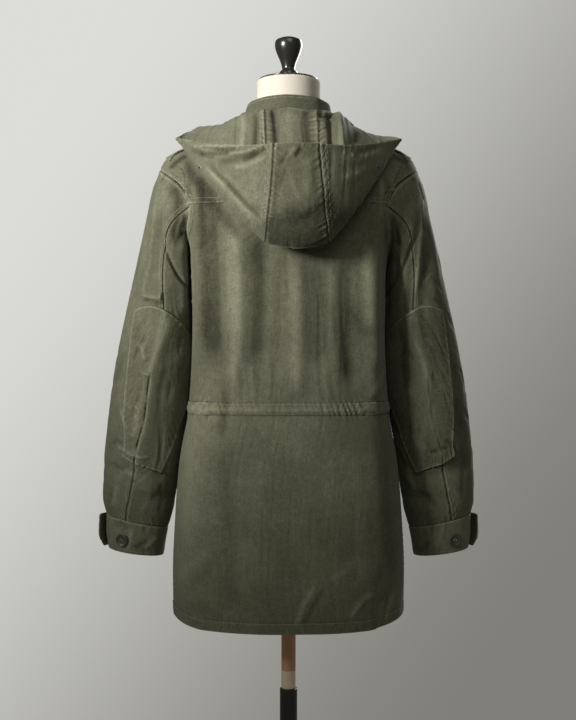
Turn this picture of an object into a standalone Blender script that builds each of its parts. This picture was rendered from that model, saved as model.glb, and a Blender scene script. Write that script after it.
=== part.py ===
"""Olive field jacket with a turned-back hood, worn by a limbless dress form on a stand.

Metres, +Z up, the floor at z = 0 and the stand's axis at x = y = 0. The wearer faces +Y, so the
jacket's back faces -Y and its left side is at -X. Every piece of cloth is a wall between two grids
of points: the outer grid follows a smooth surface, and the inner grid lies one cloth thickness in.
"""

import math

import bmesh
import bpy
import numpy as np
from mathutils import Matrix, Vector

# ---------------------------------------------------------------- driving sizes
CLOTH = 0.0016  # thickness of a single cloth wall
SEAM = 0.0003  # gap between two pieces that are sewn edge to edge
LAID = 0.0003  # gap below a piece that lies on another
LEFT, RIGHT = -1, 1

HEM_Z = 0.627
WAIST_Z = 0.957
WAIST_BAND = 0.017  # height of the drawcord casing round the waist
WAIST_RAISE = 0.0012
UNDERARM_Z = 1.186
SHOULDER_TIP_Z = 1.334
NECKLINE_Z = 1.385
ARMHOLE_MID_Z = (UNDERARM_Z + SHOULDER_TIP_Z) / 2  # the yoke seam runs at this height
ARMHOLE_HALF = (SHOULDER_TIP_Z - UNDERARM_Z) / 2
ARMHOLE_BACK = math.radians(31)  # how far the armhole cuts into the back, about the body's axis
ARMHOLE_FRONT = math.radians(35)
ARMHOLE_STEPS = 10

# The body's level rings, from the hem up. Lean tips a ring down towards the front.
BODY_COLUMNS = ("z", "half_width", "back", "front", "squareness", "centre_y", "lean")
BODY = (
    (0.560, 0.1790, 0.128, 0.126, 2.15, 0.000, 0.00),
    (0.627, 0.1800, 0.128, 0.126, 2.20, 0.000, 0.00),
    (0.700, 0.1810, 0.128, 0.126, 2.40, 0.000, 0.00),
    (0.780, 0.1775, 0.126, 0.124, 2.55, 0.000, 0.00),
    (0.860, 0.1712, 0.121, 0.119, 2.75, 0.000, 0.00),
    (0.957, 0.1562, 0.113, 0.112, 2.85, 0.000, 0.00),
    (1.075, 0.1502, 0.117, 0.119, 3.00, 0.000, 0.00),
    (1.150, 0.1510, 0.119, 0.121, 3.00, 0.000, 0.00),
    (1.186, 0.1540, 0.119, 0.119, 2.90, 0.000, 0.01),
    (1.260, 0.1830, 0.116, 0.110, 2.70, 0.001, 0.04),
    (1.306, 0.2030, 0.109, 0.097, 2.60, 0.002, 0.08),
    (1.334, 0.1980, 0.101, 0.085, 2.50, 0.003, 0.11),
    (1.350, 0.1660, 0.092, 0.077, 2.40, 0.004, 0.14),
    (1.366, 0.1240, 0.081, 0.069, 2.30, 0.004, 0.17),
    (1.378, 0.0900, 0.0725, 0.063, 2.20, 0.004, 0.19),
    (1.385, 0.0725, 0.0685, 0.060, 2.10, 0.004, 0.20),
    (1.400, 0.0700, 0.0660, 0.058, 2.00, 0.004, 0.20),
)

# Large vertical folds of the body, as ridges (+) and troughs (-). x is positive to the right.
FOLD_COLUMNS = ("side", "x", "low_z", "high_z", "half_width", "height")
FOLDS = (
    ("back", -0.118, 1.06, 1.20, 0.015, -0.0040),
    ("back", -0.080, 0.99, 1.25, 0.020, 0.0035),
    ("back", -0.040, 0.97, 1.22, 0.012, -0.0022),
    ("back", 0.000, 0.97, 1.10, 0.014, 0.0022),
    ("back", 0.045, 1.00, 1.18, 0.020, -0.0040),
    ("back", 0.098, 0.97, 1.10, 0.014, -0.0028),
    ("back", 0.128, 0.98, 1.24, 0.012, 0.0030),
    ("back", -0.105, 0.68, 0.93, 0.024, 0.0030),
    ("back", 0.020, 0.60, 0.90, 0.035, -0.0025),
    ("back", 0.140, 0.58, 0.72, 0.010, -0.0045),
    ("front", -0.120, 0.98, 1.24, 0.014, -0.0040),
    ("front", 0.125, 1.00, 1.25, 0.013, -0.0040),
    ("front", -0.060, 0.60, 0.90, 0.026, 0.0030),
    ("front", 0.070, 0.58, 0.86, 0.024, -0.0030),
)

# A sleeve's rings, from the armhole to the cuff: its outline as seen from behind, and its depth.
SLEEVE_COLUMNS = ("along", "outer_x", "outer_z", "inner_x", "inner_z", "half_depth", "centre_y")
SLEEVE = (
    (0.00, 0.1985, 1.3340, 0.1545, 1.1860, 0.088, -0.004),
    (0.06, 0.2110, 1.3040, 0.1575, 1.1700, 0.078, -0.004),
    (0.14, 0.2230, 1.2520, 0.1550, 1.1460, 0.068, 0.000),
    (0.25, 0.2350, 1.2024, 0.1538, 1.1182, 0.062, 0.004),
    (0.37, 0.2491, 1.1405, 0.1532, 1.0782, 0.058, 0.008),
    (0.49, 0.2642, 1.0753, 0.1546, 1.0330, 0.057, 0.012),
    (0.61, 0.2781, 1.0048, 0.1575, 0.9826, 0.057, 0.017),
    (0.73, 0.2885, 0.9288, 0.1650, 0.9187, 0.056, 0.022),
    (0.84, 0.2959, 0.8605, 0.1757, 0.8493, 0.053, 0.027),
    (0.93, 0.2974, 0.8114, 0.1852, 0.7921, 0.049, 0.030),
    (1.00, 0.2919, 0.7859, 0.1933, 0.7645, 0.043, 0.031),
)
CUFF = (
    (0.00, 0.2919, 0.7848, 0.1933, 0.7635, 0.043, 0.031),
    (0.50, 0.2921, 0.7577, 0.1974, 0.7410, 0.043, 0.032),
    (1.00, 0.2885, 0.7303, 0.2010, 0.7181, 0.040, 0.032),
)
SLEEVE_CAP = 0.12  # share of the sleeve over which the armhole's shape fades into an oval

# The sleeves' large creases: where on the sleeve, how they run, and how deep they are.
CREASE_COLUMNS = ("along", "angle", "half_along", "half_angle", "slant", "height")
CREASES = (
    (0.16, 118, 0.050, 16, 90, -0.0050),
    (0.27, 40, 0.120, 12, 10, 0.0025),
    (0.46, 130, 0.110, 20, -40, -0.0030),
    (0.60, 82, 0.150, 9, -60, 0.0030),
    (0.72, 150, 0.045, 30, 60, -0.0030),
    (0.84, 70, 0.022, 45, 60, -0.0045),
    (0.90, 125, 0.020, 35, -40, -0.0035),
    (0.50, -120, 0.060, 25, 60, -0.0050),
    (0.57, -100, 0.050, 28, -60, -0.0045),
    (0.86, -70, 0.025, 40, 40, -0.0040),
)

# Angles of the sleeve's seams and elbow patch, in degrees: 0 is the outer side, 90 the back.
SEAM_ANGLE_COLUMNS = ("along", "hind_seam", "fore_seam", "patch_outer", "patch_inner")
SEAM_ANGLES = (
    (0.00, 90, -90, 40, 165),
    (0.20, 91, -92, 42, 168),
    (0.36, 101, -95, 46, 170),
    (0.41, 107, -97, 48, 170),
    (0.57, 92, -100, 55, 170),
    (0.70, 92, -100, 59, 154),
    (0.78, 86, -100, 66, 138),
    (0.85, 84, -100, 64, 124),
    (1.00, 74, -100, 56, 97),
)
PATCH_START, PATCH_END, PATCH_ROUND = 0.36, 0.82, 0.10
PATCH_TOP_SHARE = 0.60  # of the patch's full width, straight across its top


# The hood's stations from the neckline (0) down inside the pouch, round its bottom and up to the
# brow edge (1). The gusset is its middle strip; the edge is the opening that frames the face.
HOOD_COLUMNS = (
    "along", "centre_y", "centre_z", "gusset", "shift", "seam_rise",
    "edge_x", "edge_y", "edge_z", "bow_x", "bow_y", "bow_z", "left_drop", "right_drop",
)
HOOD = (
    (0.00, -0.0780, 1.3980, 0.034, 0.000, -0.003, 0.066, 0.052, 1.381, 0.030, -0.002, 0.000, 0.0000, 0.0000), 
    (0.05, -0.0850, 1.4060, 0.038, 0.002, -0.002, 0.074, 0.058, 1.388, 0.031, -0.002, 0.004, 0.0000, 0.0000), 
    (0.09, -0.0950, 1.4040, 0.039, 0.003, -0.001, 0.084, 0.057, 1.392, 0.028, -0.008, 0.004, 0.0000, 0.0010), 
    (0.20, -0.1130, 1.3780, 0.039, 0.004, 0.000, 0.108, 0.040, 1.396, 0.014, -0.024, 0.008, -0.0030, 0.0060), 
    (0.34, -0.1250, 1.3320, 0.039, 0.006, 0.000, 0.136, 0.010, 1.396, 0.000, -0.034, 0.008, -0.0035, 0.0135), 
    (0.48, -0.1290, 1.2650, 0.042, 0.009, 0.002, 0.155, -0.025, 1.391, 0.000, -0.032, 0.004, 0.0070, 0.0140), 
    (0.61, -0.1390, 1.2090, 0.045, 0.012, 0.006, 0.165, -0.050, 1.382, 0.000, -0.024, -0.003, 0.0080, 0.0107), 
    (0.70, -0.1620, 1.1900, 0.046, 0.0125, 0.010, 0.169, -0.066, 1.374, 0.000, -0.016, -0.016, 0.0055, 0.0070), 
    (0.79, -0.1850, 1.2120, 0.044, 0.0125, 0.008, 0.171, -0.074, 1.370, 0.000, -0.014, -0.016, 0.0040, 0.0055), 
    (0.89, -0.1960, 1.2740, 0.037, 0.012, 0.003, 0.171, -0.078, 1.369, 0.000, -0.014, -0.012, 0.0040, 0.0055), 
    (1.00, -0.1940, 1.3370, 0.032, 0.011, 0.000, 0.170, -0.080, 1.370, 0.000, -0.014, -0.010, 0.0040, 0.0055), 
)
HOOD_SEAM_Z = 1.3925  # on the collar
HOOD_SEAM_HALF = math.radians(135)  # how far the hood's neck seam runs round it, each way
HOOD_SEAM_SHARE = 0.06  # of the hood's length, over which it leaves that seam's shape
GUSSET_SHARE = 0.25  # of the hood's half width
GUSSET_CROWN = 0.006  # the gusset's middle stands this far behind its seams

COLLAR_COLUMNS = ("z", "half_width", "back", "front", "lean")
COLLAR = (
    (1.3855, 0.0735, 0.0690, 0.0610, 0.20),
    (1.4050, 0.0715, 0.0640, 0.0600, 0.19),
    (1.4275, 0.0665, 0.0580, 0.0590, 0.17),
)
COLLAR_GAP = math.radians(1.5)  # half of the collar's opening at the centre front

FRONT_BUTTON_Z = (0.750, 0.845, 1.020, 1.130, 1.240, 1.335)
BUTTON_RADIUS, BUTTON_HEIGHT = 0.0105, 0.0032
SMALL_BUTTON_RADIUS = 0.0085

# Patch pockets: the rows of the front that they and their flaps start and end at, and the column
# of the front where their outer edge lies. Both reach in to the column at INNER_COLUMNS[0].
POCKET_COLUMNS = ("name", "low_z", "high_z", "flap_low_z", "flap_high_z", "outer_column")
POCKETS = (
    ("chest_pocket", 1.060, 1.165, 1.130, 1.178, 4),
    ("hip_pocket", 0.700, 0.895, 0.845, 0.910, 3),
)
INNER_COLUMNS = (0.042, 0.027, 0.0135)  # x of the front's columns beside the centre front
OUTER_STEPS = 8  # columns of the front from its side edge to the first of those
BACK_MIDDLE = 0.108  # x out to which the back's columns are straight
BACK_STEPS, SIDE_STEPS = 12, 4
EPAULETTE_TIP_X, EPAULETTE_BASE_X, EPAULETTE_HALF = 0.098, 0.189, 0.024
EPAULETTE_TIP_Y, EPAULETTE_BASE_Y = -0.012, -0.031
EPAULETTE_POINT, EPAULETTE_BUTTON, EPAULETTE_LIFT = 0.012, 0.81, 0.0007
EPAULETTE_SKEW = 0.009  # how far the strap's sewn end is set in at its back corner, by the armhole

FORM_GAP = 0.0013  # between the dress form's shoulders and the cloth's inner face
FORM_COLUMNS = ("z", "half_width", "back", "front", "squareness")
FORM = (
    (0.700, 0.1500, 0.105, 0.100, 2.2),
    (0.790, 0.1560, 0.108, 0.102, 2.2),
    (0.880, 0.1440, 0.098, 0.096, 2.2),
    (0.970, 0.1260, 0.084, 0.088, 2.2),
    (1.050, 0.1330, 0.092, 0.100, 2.2),
    (1.130, 0.1420, 0.101, 0.109, 2.2),
    (1.200, 0.1460, 0.104, 0.103, 2.3),
    (1.260, 0.1570, 0.101, 0.092, 2.3),
    (1.300, 0.1640, 0.092, 0.077, 2.3),
    (1.326, 0.1660, 0.085, 0.069, 2.3),
)
NECK_RADIUS, NECK_TOP_Z = 0.050, 1.4700
CAP_RADIUS, CAP_TOP_Z = 0.0465, 1.4780
FINIAL = (  # radius and height of its turned outline
    (0.0, 1.5390), (0.0120, 1.5382), (0.0205, 1.5340), (0.0215, 1.5275), (0.0110, 1.4950),
    (0.0100, 1.4895), (0.0145, 1.4835), (0.0150, 1.4783), (0.0, 1.4783),
)
POLE_RADIUS, TUBE_RADIUS, TUBE_TOP_Z = 0.01125, 0.0137, 0.512
BASE = ((0.0, 0.018), (0.060, 0.018), (0.209, 0.0125), (0.218, 0.008), (0.218, 0.0), (0.0, 0.0))
SOCKET = ((0.0, 0.050), (0.0200, 0.050), (0.0225, 0.047), (0.0260, 0.0183), (0.0, 0.0183))

MATERIALS = {  # colour, roughness, metallic
    "olive_cotton": ((0.105, 0.108, 0.075), 0.85, 0.0),
    "dark_button": ((0.045, 0.047, 0.030), 0.45, 0.0),
    "cream_jersey": ((0.780, 0.720, 0.630), 0.80, 0.0),
    "black_lacquer": ((0.012, 0.012, 0.012), 0.25, 0.0),
    "black_wood": ((0.014, 0.013, 0.012), 0.25, 0.0),
    "brown_wood": ((0.200, 0.080, 0.035), 0.45, 0.0),
}


# ---------------------------------------------------------------- tables and smooth curves
def monotone(x, y):
    """A smooth curve through the points (x, y) that doesn't overshoot them, as a function."""
    x, y = np.asarray(x, float), np.asarray(y, float)
    steps = np.diff(x)
    rises = np.diff(y) / steps
    slopes = np.zeros_like(y)
    both = rises[:-1] * rises[1:]
    total = np.where(both > 0, rises[:-1] + rises[1:], 1.0)
    slopes[1:-1] = np.where(both > 0, 2 * both / total, 0.0)
    slopes[0], slopes[-1] = rises[0], rises[-1]

    def curve(at):
        at = np.clip(at, x[0], x[-1])
        i = np.clip(np.searchsorted(x, at, side="right") - 1, 0, len(x) - 2)
        h = steps[i]
        s = (at - x[i]) / h
        start = (1 + 2 * s) * (1 - s) ** 2 * y[i] + s * (1 - s) ** 2 * h * slopes[i]
        return start + s * s * (3 - 2 * s) * y[i + 1] + s * s * (s - 1) * h * slopes[i + 1]

    return curve


def curves(columns, rows):
    """One smooth curve for each named column after the first, which is what they run along."""
    table = np.array(rows, float)
    return {name: monotone(table[:, 0], table[:, i]) for i, name in enumerate(columns) if i}


BODY_CURVE = curves(BODY_COLUMNS, BODY)
SLEEVE_CURVE = curves(SLEEVE_COLUMNS, SLEEVE)
CUFF_CURVE = curves(SLEEVE_COLUMNS, CUFF)
SEAM_CURVE = curves(SEAM_ANGLE_COLUMNS, SEAM_ANGLES)
HOOD_CURVE = curves(HOOD_COLUMNS, HOOD)
COLLAR_CURVE = curves(COLLAR_COLUMNS, COLLAR)
FORM_CURVE = curves(FORM_COLUMNS, FORM)


def bell(distance):
    """1 at the middle of a fold, falling smoothly to almost nothing two half widths away."""
    return np.exp(-(distance**2))


def span(value, low, high, soft):
    """1 between low and high, fading out over the distance soft at both ends."""
    up = np.clip((value - low) / soft + 0.5, 0, 1)
    down = np.clip((high - value) / soft + 0.5, 0, 1)
    return up * up * (3 - 2 * up) * down * down * (3 - 2 * down)


def normals(surface, u, v, step_u, step_v):
    """Unit normals of a surface at the parameters u and v, from its two tangents."""
    along_u = surface(u + step_u, v) - surface(u - step_u, v)
    along_v = surface(u, v + step_v) - surface(u, v - step_v)
    across = np.cross(along_u, along_v)
    return across / np.linalg.norm(across, axis=-1, keepdims=True)


# ---------------------------------------------------------------- the body of the jacket
def ring_radius(angle, half_width, back, front, squareness):
    """Radius of a squared oval at an angle about its centre; the back is at negative angles."""
    c, s = np.abs(np.cos(angle)), np.sin(angle)
    depth = np.where(s < 0, back, front)
    return ((c / half_width) ** squareness + (np.abs(s) / depth) ** squareness) ** (-1 / squareness)


def body_relief(x, y, z):
    """Height of the body's large folds and of the waist casing above its plain rings."""
    relief = WAIST_RAISE * span(z, WAIST_Z - WAIST_BAND / 2, WAIST_Z + WAIST_BAND / 2, 0.003)
    for side, fold_x, low, high, half_width, height in FOLDS:
        facing = np.clip(-y / 0.06 if side == "back" else y / 0.06, 0, 1)
        shape = bell((x - fold_x) / half_width) * span(z, low, high, 0.08)
        relief = relief + height * facing * shape
    return relief


def body(angle, z):
    """A point of the jacket's outer surface at an angle about the body's axis."""
    at = {name: curve(z) for name, curve in BODY_CURVE.items()}
    radius = ring_radius(angle, at["half_width"], at["back"], at["front"], at["squareness"])
    x, y = radius * np.cos(angle), radius * np.sin(angle)
    radius = radius + body_relief(x, y, z)
    x, y = radius * np.cos(angle), radius * np.sin(angle)
    return np.stack(np.broadcast_arrays(x, y + at["centre_y"], z - at["lean"] * y), axis=-1)


def body_normals(angle, z):
    return normals(body, angle, z, 0.004, 0.0008)


def body_angle(x, z, facing):
    """The angle at which the body's plain ring has this x, on the back (-1) or the front (1)."""
    at = {name: curve(z) for name, curve in BODY_CURVE.items()}
    depth = at["back"] if facing < 0 else at["front"]
    share = np.clip(np.abs(x) / at["half_width"], 0, 1) ** at["squareness"]
    return np.arctan2(facing * depth * (1 - share) ** (1 / at["squareness"]), x)


def shoulder_ring(x, y):
    """The height of the ring that passes through (x, y) on the shoulder's slope."""
    low, high = np.full(np.shape(x), 1.300), np.full(np.shape(x), NECKLINE_Z)
    for _ in range(30):
        z = (low + high) / 2
        at = {name: curve(z) for name, curve in BODY_CURVE.items()}
        offset = y - at["centre_y"]
        radius = ring_radius(
            np.arctan2(offset, x), at["half_width"], at["back"], at["front"], at["squareness"]
        )
        inside = np.hypot(x, offset) < radius
        low, high = np.where(inside, z, low), np.where(inside, high, z)
    return (low + high) / 2, offset


def armhole(turn):
    """Angle and height on the body of the armhole's edge; turn runs from its top over the back."""
    z = ARMHOLE_MID_Z + ARMHOLE_HALF * np.cos(turn)
    reach = np.abs(np.sin(turn)) ** np.where(np.cos(turn) > 0, 2.0, 1.25)
    return np.where(np.sin(turn) > 0, -ARMHOLE_BACK, ARMHOLE_FRONT) * reach, z


def side_limit(z, facing):
    """Angle of the right-hand armhole or side seam at this height, on the back or the front."""
    cosine = np.clip((z - ARMHOLE_MID_Z) / ARMHOLE_HALF, -1, 1)
    angle, _ = armhole(-facing * np.arccos(cosine))
    return angle


ARMHOLE_ROWS = [
    ARMHOLE_MID_Z - ARMHOLE_HALF * math.cos(math.pi * i / ARMHOLE_STEPS)
    for i in range(ARMHOLE_STEPS + 1)
]
YOKE_ROW = ARMHOLE_STEPS // 2
SKIRT_ROWS = [HEM_Z, 0.660, 0.700, 0.750, 0.800, 0.845, 0.895, 0.910]
WAIST_ROWS = [WAIST_Z + WAIST_BAND * share for share in (-0.63, -0.37, 0.37, 0.63)]
CHEST_ROWS = [1.020, 1.060, 1.095, 1.130, 1.165, 1.178]
SHOULDER_ROWS = [1.344, 1.354, 1.364, 1.374, NECKLINE_Z]
FRONT_ROWS = SKIRT_ROWS + WAIST_ROWS + CHEST_ROWS + ARMHOLE_ROWS + SHOULDER_ROWS


# ---------------------------------------------------------------- making the pieces
def wall(name, outer, inner, material, closed=False):
    """A closed solid between two grids of points, rows by columns; closed joins the last column."""
    rows, columns = outer.shape[:2]
    wide = columns if closed else columns - 1
    shape = bmesh.new()
    skins = [[[shape.verts.new(p) for p in row] for row in grid] for grid in (outer, inner)]
    for skin in skins:
        for r in range(rows - 1):
            for c in range(wide):
                n = (c + 1) % columns
                shape.faces.new((skin[r][c], skin[r][n], skin[r + 1][n], skin[r + 1][c]))
    for r in (0, rows - 1):
        for c in range(wide):
            n = (c + 1) % columns
            shape.faces.new((skins[0][r][c], skins[0][r][n], skins[1][r][n], skins[1][r][c]))
    if not closed:
        for c in (0, columns - 1):
            for r in range(rows - 1):
                shape.faces.new((skins[0][r][c], skins[0][r + 1][c], skins[1][r + 1][c], skins[1][r][c]))
    bmesh.ops.recalc_face_normals(shape, faces=shape.faces)
    return add_object(name, shape, material)


def add_object(name, shape, material):
    """Turns a bmesh into an object of the jacket's collection, with one material."""
    mesh = bpy.data.meshes.new(name)
    shape.to_mesh(mesh)
    shape.free()
    mesh.shade_smooth()
    mesh.set_sharp_from_angle(angle=math.radians(40))
    mesh.materials.append(MATERIAL[material])
    piece = bpy.data.objects.new(name, mesh)
    PARTS.objects.link(piece)
    return piece


def body_wall(name, angle, z, lift=0.0, thickness=CLOTH):
    """A panel of the body, or a piece that lies on it lifted off by lift plus its own thickness."""
    angle, z = np.broadcast_arrays(angle, z)
    points, outward = body(angle, z), body_normals(angle, z)
    top = lift + thickness if lift else 0.0
    return wall(name, points + outward * top, points + outward * (top - thickness), "olive_cotton")


def between(low, high, share):
    """Rows of values that run from low to high; low and high are columns, share is a row."""
    return low[:, None] + (high - low)[:, None] * share[None, :]


def even(count):
    return np.linspace(0, 1, count + 1)


def back_angles(z):
    """The back's columns: even in x over its middle, then even in angle to each side edge."""
    half = SEAM / 2
    edge = side_limit(z, -1) - half / 0.10
    reach = np.minimum(BACK_MIDDLE, 0.7 * BODY_CURVE["half_width"](z))
    right = body_angle(reach, z, -1)
    middle = body_angle(reach[:, None] * np.linspace(-1, 1, BACK_STEPS + 1)[None, :], z[:, None], -1)
    side = between(right, edge, even(SIDE_STEPS))[:, 1:]
    return np.concatenate([-math.pi - side[:, ::-1], middle, side], axis=1)


def make_back():
    """The back below the yoke seam, and the yoke from that seam up to the neckline."""
    z = np.array(SKIRT_ROWS + WAIST_ROWS + CHEST_ROWS + ARMHOLE_ROWS[: YOKE_ROW + 1])
    z[-1] -= SEAM / 2
    body_wall("back_panel", back_angles(z), z[:, None])
    z = np.array(ARMHOLE_ROWS[YOKE_ROW:] + SHOULDER_ROWS)
    z[0] += SEAM / 2
    body_wall("back_yoke", back_angles(z), z[:, None])


def front_angles(z):
    """The right front's columns: even from its side edge, then at fixed x beside the centre."""
    edge = side_limit(z, 1) + SEAM / 2 / 0.10
    inner = [body_angle(np.full_like(z, x), z, 1) for x in INNER_COLUMNS]
    return np.concatenate([between(edge, inner[0], even(OUTER_STEPS))[:, :-1], np.stack(inner, 1)], 1)


def front_piece(name, rows, angles, side, **layer):
    """A piece of a front, on the right or mirrored to the left."""
    angles = angles if side == RIGHT else math.pi - angles
    body_wall(name, angles, np.array(rows)[:, None], **layer)


def make_fronts():
    """The two fronts, from the side seam or armhole to the centre front."""
    z = np.array(FRONT_ROWS)
    centre = body_angle(np.full_like(z, SEAM / 2), z, 1)
    angles = np.concatenate([front_angles(z), centre[:, None]], axis=1)
    for label, side in (("left", LEFT), ("right", RIGHT)):
        front_piece(f"front_{label}", z, angles, side)


def make_placket():
    """The fly strip over the centre front, and its buttons."""
    z = np.array(FRONT_ROWS[:-1])
    right = front_angles(z)[:, OUTER_STEPS + 1 :]
    middle = np.full((len(z), 1), math.pi / 2)
    angles = np.concatenate([right, middle, math.pi - right[:, ::-1]], axis=1)
    front_piece("front_placket", z, angles, RIGHT, lift=LAID)
    for number, height in enumerate(FRONT_BUTTON_Z, 1):
        at = np.array(math.pi / 2), np.array(height)
        seat = body(*at) + body_normals(*at) * (2 * LAID + CLOTH)
        make_button(f"front_button_{number}", seat, body_normals(*at), BUTTON_RADIUS)


def make_pockets():
    """Two chest and two hip patch pockets, each under its flap, from the points of the fronts."""
    for name, low_z, high_z, flap_low_z, flap_high_z, outer in POCKETS:
        for label, side in (("left", LEFT), ("right", RIGHT)):
            rows = [z for z in FRONT_ROWS if low_z <= z <= high_z]
            angles = front_angles(np.array(rows))[:, outer : OUTER_STEPS + 1]
            front_piece(f"{name}_{label}", rows, angles, side, lift=LAID)
            rows = [z for z in FRONT_ROWS if flap_low_z <= z <= flap_high_z]
            angles = front_angles(np.array(rows))[:, outer : OUTER_STEPS + 1]
            front_piece(f"{name}_flap_{label}", rows, angles, side, lift=2 * LAID + CLOTH)


def epaulette_places(across, along):
    """x and y of a strap's points: across from its back edge (-1), along from its sewn end (0)."""
    base = EPAULETTE_BASE_X - EPAULETTE_SKEW * np.clip(-across, 0, 1) ** 2
    tip = EPAULETTE_TIP_X + EPAULETTE_POINT * np.abs(across)
    x = base[None, :] + (tip - base)[None, :] * along[:, None]
    middle = EPAULETTE_BASE_Y + (EPAULETTE_TIP_Y - EPAULETTE_BASE_Y) * along[:, None]
    return x, middle + EPAULETTE_HALF * across[None, :] + 0 * x


def make_epaulettes():
    """A strap on each shoulder, from the armhole seam to a buttoned point beside the neck."""
    for label, side in (("left", LEFT), ("right", RIGHT)):
        across, along = even(6) * 2 - 1, even(8)
        x, y = epaulette_places(across, along)
        z, offset = shoulder_ring(x, y)
        angle = np.arctan2(offset, side * x)
        body_wall(f"epaulette_{label}", angle, z, lift=EPAULETTE_LIFT)
        x, y = epaulette_places(np.zeros(1), np.array([EPAULETTE_BUTTON]))
        z, offset = shoulder_ring(x[0, 0], y[0, 0])
        angle = np.arctan2(offset, side * x[0, 0])
        seat = body(angle, z) + body_normals(angle, z) * (LAID + EPAULETTE_LIFT + CLOTH)
        make_button(f"epaulette_button_{label}", seat, body_normals(angle, z), SMALL_BUTTON_RADIUS)


def collar(angle, z, out=0.0):
    """The stand collar's outer surface, or a surface round it; it leans as the neckline does."""
    at = {name: curve(z) for name, curve in COLLAR_CURVE.items()}
    radius = ring_radius(angle, at["half_width"], at["back"], at["front"], 2.1) + out
    x, y = radius * np.cos(angle), radius * np.sin(angle)
    centre = BODY_CURVE["centre_y"](NECKLINE_Z)
    return np.stack(np.broadcast_arrays(x, y + centre, z - at["lean"] * y), axis=-1)


def make_collar():
    z = np.array([COLLAR[0][0], 1.400, 1.415, COLLAR[-1][0]])
    start, end = math.pi / 2 + COLLAR_GAP, math.pi * 2.5 - COLLAR_GAP
    angle = np.linspace(start, end, 29)[None, :] + 0 * z[:, None]
    z = z[:, None] + 0 * angle
    outward = normals(collar, angle, z, 0.01, 0.001)
    points = collar(angle, z)
    wall("collar", points, points - outward * CLOTH, "olive_cotton")


# ---------------------------------------------------------------- the hood
def loose_hood(across, along):
    """The hood's stations: across runs from its left face edge (-1) to its right (1)."""
    at = {name: curve(along) for name, curve in HOOD_CURVE.items()}
    side, away = np.sign(across), np.abs(across)
    in_gusset = np.clip(away / GUSSET_SHARE, 0, 1)
    out = np.clip((away - GUSSET_SHARE) / (1 - GUSSET_SHARE), 0, 1)
    bulge = 4 * out * (1 - out)
    pouch = span(along, 0.30, 1.20, 0.30)
    x = at["shift"] * (1 - out) + side * (
        at["gusset"] * in_gusset + (at["edge_x"] - at["gusset"]) * out + at["bow_x"] * bulge
    )
    crown = GUSSET_CROWN * pouch * in_gusset**2
    y = at["centre_y"] + crown + (at["edge_y"] - at["centre_y"] - crown) * out + at["bow_y"] * bulge
    seam_z = at["centre_z"] + at["seam_rise"] * in_gusset**2
    drop = np.where(side > 0, at["right_drop"], at["left_drop"]) * out**3
    z = seam_z + (at["edge_z"] - seam_z) * out + at["bow_z"] * bulge - drop
    return np.stack(np.broadcast_arrays(x, y, z), axis=-1)


def hood(across, along):
    """The hood's outside, with its first row sewn round the foot of the collar."""
    seam = collar(HOOD_SEAM_HALF * across - math.pi / 2, HOOD_SEAM_Z, out=3 * LAID)
    share = np.clip(1 - along / HOOD_SEAM_SHARE, 0, 1) ** 2
    return loose_hood(across, along) + (seam - loose_hood(across, 0 * along)) * share[..., None]


def make_hood():
    """The hood's middle gusset and its two sides, cut from one surface along the gusset's seams."""
    rows = np.array([0.0, 0.03, 0.06, 0.09, 0.14, 0.20, 0.27, 0.34, 0.41, 0.48, 0.55, 0.61, 0.655,
                     0.70, 0.745, 0.79, 0.84, 0.89, 0.945, 1.0])
    gap = SEAM / 2 / 0.16
    strips = (
        ("hood_left", -1.0, -GUSSET_SHARE - gap, 8),
        ("hood_centre", -GUSSET_SHARE + gap, GUSSET_SHARE - gap, 4),
        ("hood_right", GUSSET_SHARE + gap, 1.0, 8),
    )
    for name, start, end, columns in strips:
        across = np.linspace(start, end, columns + 1)[None, :] + 0 * rows[:, None]
        along = rows[:, None] + 0 * across
        points = hood(across, along)
        outward = normals(hood, across, along, 0.02, 0.004)
        wall(name, points, points - outward * CLOTH, "olive_cotton")


# ---------------------------------------------------------------- the sleeves
def oval(at, turn):
    """A ring spanned by its outer and inner points and its depth; a quarter turn is its back."""
    middle_x, middle_z = (at["outer_x"] + at["inner_x"]) / 2, (at["outer_z"] + at["inner_z"]) / 2
    half_x, half_z = (at["outer_x"] - at["inner_x"]) / 2, (at["outer_z"] - at["inner_z"]) / 2
    x = middle_x + half_x * np.cos(turn)
    z = middle_z + half_z * np.cos(turn)
    y = at["centre_y"] - at["half_depth"] * np.sin(turn)
    return np.stack(np.broadcast_arrays(x, y, z), axis=-1)


def crease_relief(turn, along):
    """Height of the sleeve's large creases above its plain rings."""
    relief = 0 * turn * along
    for at, angle, half_along, half_angle, slant, height in CREASES:
        off_along = along - at
        off_angle = np.degrees(np.angle(np.exp(1j * (turn - math.radians(angle))))) - slant * off_along / 0.1
        relief = relief + height * bell(off_along / half_along) * bell(off_angle / half_angle)
    return relief * np.clip(along / 0.1, 0, 1) * np.clip((1 - along) / 0.05, 0, 1)


def plain_sleeve(turn, along):
    """The right sleeve without creases; it starts as the armhole's shape and fades to an oval."""
    ring = oval({name: curve(along) for name, curve in SLEEVE_CURVE.items()}, turn)
    first = oval({name: curve(0 * along) for name, curve in SLEEVE_CURVE.items()}, turn)
    fade = np.clip(1 - along / SLEEVE_CAP, 0, 1) ** 2
    return ring + (body(*armhole(turn)) - first) * np.asarray(fade)[..., None]


def sleeve_out(turn, along):
    """Unit direction from the sleeve's middle line out through a point of its plain surface."""
    across = normals(plain_sleeve, turn, along, 0.02, 0.004)
    middle = oval({name: curve(along) for name, curve in SLEEVE_CURVE.items()}, turn + math.pi)
    away = plain_sleeve(turn, along) - middle
    return across * np.sign(np.sum(across * away, axis=-1, keepdims=True))


def sleeve(turn, along):
    """A point of the right sleeve's outer surface."""
    relief = crease_relief(turn, along)
    return plain_sleeve(turn, along) + sleeve_out(turn, along) * relief[..., None]


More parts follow.
